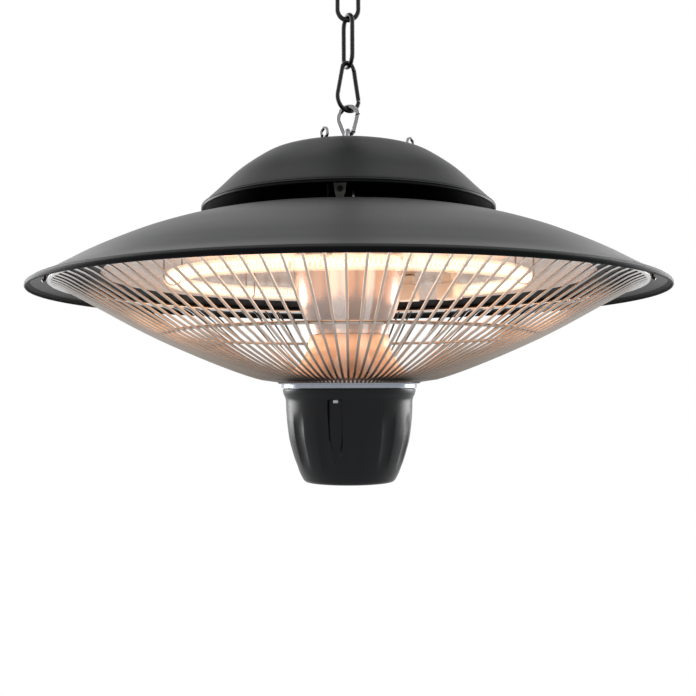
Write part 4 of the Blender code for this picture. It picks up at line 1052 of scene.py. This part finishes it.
def carvedRadius(s, turn, z, radius):
    # The cup's wall with its shallow flutes and its screw channels
    wanted = radius
    half = math.radians(s["fluteHalf"])
    off = nearestTurn(turn, math.radians(s["firstFlute"]), s["flutes"])
    if abs(off) < half:
        fade = smoothStep(z, s["fluteBottom"], s["fluteBottom"] + s["fadeBottom"])
        fade *= smoothStep(-z, -s["fluteTop"], -s["fluteTop"] + s["fadeTop"])
        wanted -= s["fluteDepth"] * (1 - (off / half) ** 2) * fade
    off = nearestTurn(turn, math.radians(s["firstChannel"]), s["channels"])
    side = s["channelCircle"] * math.sin(off)
    if z < s["channelTop"] and abs(off) < s["channelTurn"] and abs(side) < s["channelRadius"]:
        cut = s["channelCircle"] * math.cos(off)
        cut -= math.sqrt(s["channelRadius"] ** 2 - side ** 2)
        wanted = min(wanted, cut)
    return wanted


def buildCup(s):
    outer = profile(s["outer"], 2)
    bm = bmesh.new()
    spunMesh(bm, cupOutline(s, outer), 360)
    bmesh.ops.remove_doubles(bm, verts=bm.verts, dist=weld)
    for vert in bm.verts:
        z = vert.co.z - cupTop
        radius = vert.co.xy.length
        if radius < radiusAt(outer, vert.co.z) - s["wall"] / 2 or z < s["carveEnd"]:
            continue
        turn = math.atan2(vert.co.y, vert.co.x)
        vert.co.xy *= carvedRadius(s, turn, z, radius) / radius
    addPiece("controlCup", finishMesh("controlCup", bm, 24), "heater",
             "cupBlack", ["control_cup"])


def buildCollar(s):
    spunPiece("brightCollar", plain(s["outline"]), 160, "heater",
              "collarChrome", ["collar"], angle=40)


buildCollar(collarSet)
buildCup(cupSet)
print("collar and cup built")

# Button spring, which shortens as the button goes in
springSet = {"radius": 0.0032, "wire": 0.0004, "curls": 3, "steps": 32, "press": 0.0015}


def buildSpring(s):
    low, high = boxOf("button_spring")
    bottom, top = low.z + s["wire"], high.z - s["wire"]
    points = [around(math.tau * i / s["steps"], s["radius"],
                     bottom + (top - bottom) * i / (s["curls"] * s["steps"]))
              for i in range(s["curls"] * s["steps"] + 1)]
    spring = wirePiece("coilSpring", [points], s["wire"], "heater", "zinc",
                       ["button_spring"], sides=8)
    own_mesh(spring)


buildSpring(springSet)
print("button spring built")


# CAD pieces that stay
def dressNodes():
    kept = {
        "zinc": ["eye_nut", "support_cross", "centre_tube", "tube_nut"]
                + [f"reflector_nut_{i}" for i in range(1, 5)]
                + [f"cup_screw_{i}" for i in range(1, 4)],
        "boardGreen": ["control_board"],
        "darkLens": ["receiver_window"],
        "cupBlack": ["power_button"],
    }
    for look, names in kept.items():
        for name in names:
            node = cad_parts[name]
            for slot in node.material_slots:
                slot.material = looks[look]


dressNodes()
print("kept nodes dressed")

# Stage
stageSet = {
    "distance": 0.650, "focal": 940.0, "frameWidth": 696.0, "eyeLine": 389.0,
    "roll": 0.20, "sideways": 1.2, "sensor": 36.0, "clip": 0.05,
    "floorDrop": 0.90, "floorSize": 12.0, "floorColor": (0.90, 0.90, 0.90), "floorRough": 0.9,
}


def buildCamera(s):
    data = bpy.data.cameras.new("photoCamera")
    camera = bpy.data.objects.new("photoCamera", data)
    bpy.context.collection.objects.link(camera)
    data.sensor_fit = "HORIZONTAL"
    data.sensor_width = s["sensor"]
    data.lens = s["sensor"] * s["focal"] / s["frameWidth"]
    data.shift_y = (s["eyeLine"] - s["frameWidth"] / 2) / s["frameWidth"]
    data.shift_x = -s["sideways"] / s["frameWidth"]
    data.clip_start = s["clip"]
    camera.location = (0, -s["distance"], cupTop)
    camera.rotation_euler = (math.pi / 2, math.radians(s["roll"]), 0)
    bpy.context.scene.camera = camera


def seenRays(tree):
    # 1 where the camera, a gloss or a glass looks at the background
    ray = addNode(tree, "LightPath").outputs
    direct = mathNode(tree, "MAXIMUM", ray["Is Camera Ray"], ray["Is Transmission Ray"])
    return mathNode(tree, "MAXIMUM", direct, ray["Is Glossy Ray"])


def floorLook(s):
    # White to the camera, to gloss and to glass
    look, tree, shader = shaderOf("floorPaint", s["floorColor"], s["floorRough"])
    glow = addNode(tree, "Emission", {"Strength": 1.0})
    mix = addNode(tree, "MixShader",
                  links={0: seenRays(tree), 1: shader.outputs[0], 2: glow.outputs[0]})
    tree.links.new(mix.outputs[0], tree.nodes["Material Output"].inputs["Surface"])
    return look


def buildFloor(s):
    bm = bmesh.new()
    bmesh.ops.create_grid(bm, x_segments=2, y_segments=2, size=s["floorSize"])
    mesh = bpy.data.meshes.new("floor")
    bm.to_mesh(mesh)
    bm.free()
    floor = bpy.data.objects.new("floor", mesh)
    bpy.context.collection.objects.link(floor)
    floor.location = (0, 0, cupTop - s["floorDrop"])
    mesh.materials.append(floorLook(s))


def addLight(name, spot, target, size, power, color=(1, 1, 1)):
    data = bpy.data.lights.new(name, "AREA")
    data.shape = "RECTANGLE"
    data.size, data.size_y = size
    data.energy = power
    data.color = color
    lamp = bpy.data.objects.new(name, data)
    bpy.context.collection.objects.link(lamp)
    lamp.location = spot
    way = Vector(target) - Vector(spot)
    lamp.rotation_euler = way.to_track_quat("-Z", "Y").to_euler()


def buildWorld(s):
    # White behind the object and plain light on it
    world = bpy.data.worlds.new("studio")
    bpy.context.scene.world = world
    world.use_nodes = True
    tree = world.node_tree
    back = tree.nodes["Background"]
    back.inputs["Color"].default_value = (1, 1, 1, 1)
    tree.links.new(mathNode(tree, "MAXIMUM", seenRays(tree), s["worldLight"]),
                   back.inputs["Strength"])


lightSet = {
    "worldLight": 0.34, "aim": 0.07,
    "topPower": 4, "topSize": (1.2, 0.9), "topSpot": (0, 0.25, 1.15),
    "sidePower": 25, "sideSize": (0.9, 1.4), "sideReach": 1.25, "sideBack": 0.85,
    "sideHeight": 0.45,
    "frontPower": 0.25, "frontSize": (1.4, 0.7), "frontSpot": (0, -1.7, 0.6),
    "glowLamps": 12, "glowPower": 0.045, "glowColor": (1.0, 0.52, 0.27), "glowSize": 0.028,
    "glowReach": 0.121, "glowHeight": 0.056,
}


def buildLights(s):
    middle = Vector((0, 0, cupTop + s["aim"]))
    addLight("topSoftbox", s["topSpot"], middle, s["topSize"], s["topPower"])
    addLight("frontSoftbox", s["frontSpot"], middle, s["frontSize"], s["frontPower"])
    for way, name in ((-1, "leftSoftbox"), (1, "rightSoftbox")):
        spot = (way * s["sideReach"], s["sideBack"], cupTop + s["sideHeight"])
        addLight(name, spot, middle, s["sideSize"], s["sidePower"])
    # Warm light of the glowing ring on the guard and the reflectors
    for i in range(s["glowLamps"]):
        data = bpy.data.lights.new(f"ringGlow{i + 1}", "POINT")
        data.energy = s["glowPower"]
        data.color = s["glowColor"]
        data.shadow_soft_size = s["glowSize"]
        lamp = bpy.data.objects.new(f"ringGlow{i + 1}", data)
        bpy.context.collection.objects.link(lamp)
        lamp.location = around(math.tau * i / s["glowLamps"], s["glowReach"],
                               cupTop + s["glowHeight"])
        lamp.visible_camera = False
        lamp.parent = bpy.data.objects["quartzRing"]


buildCamera(stageSet)
buildFloor(stageSet)
buildWorld(lightSet)
buildLights(lightSet)
bpy.context.scene.view_settings.view_transform = "Standard"
print("stage built")
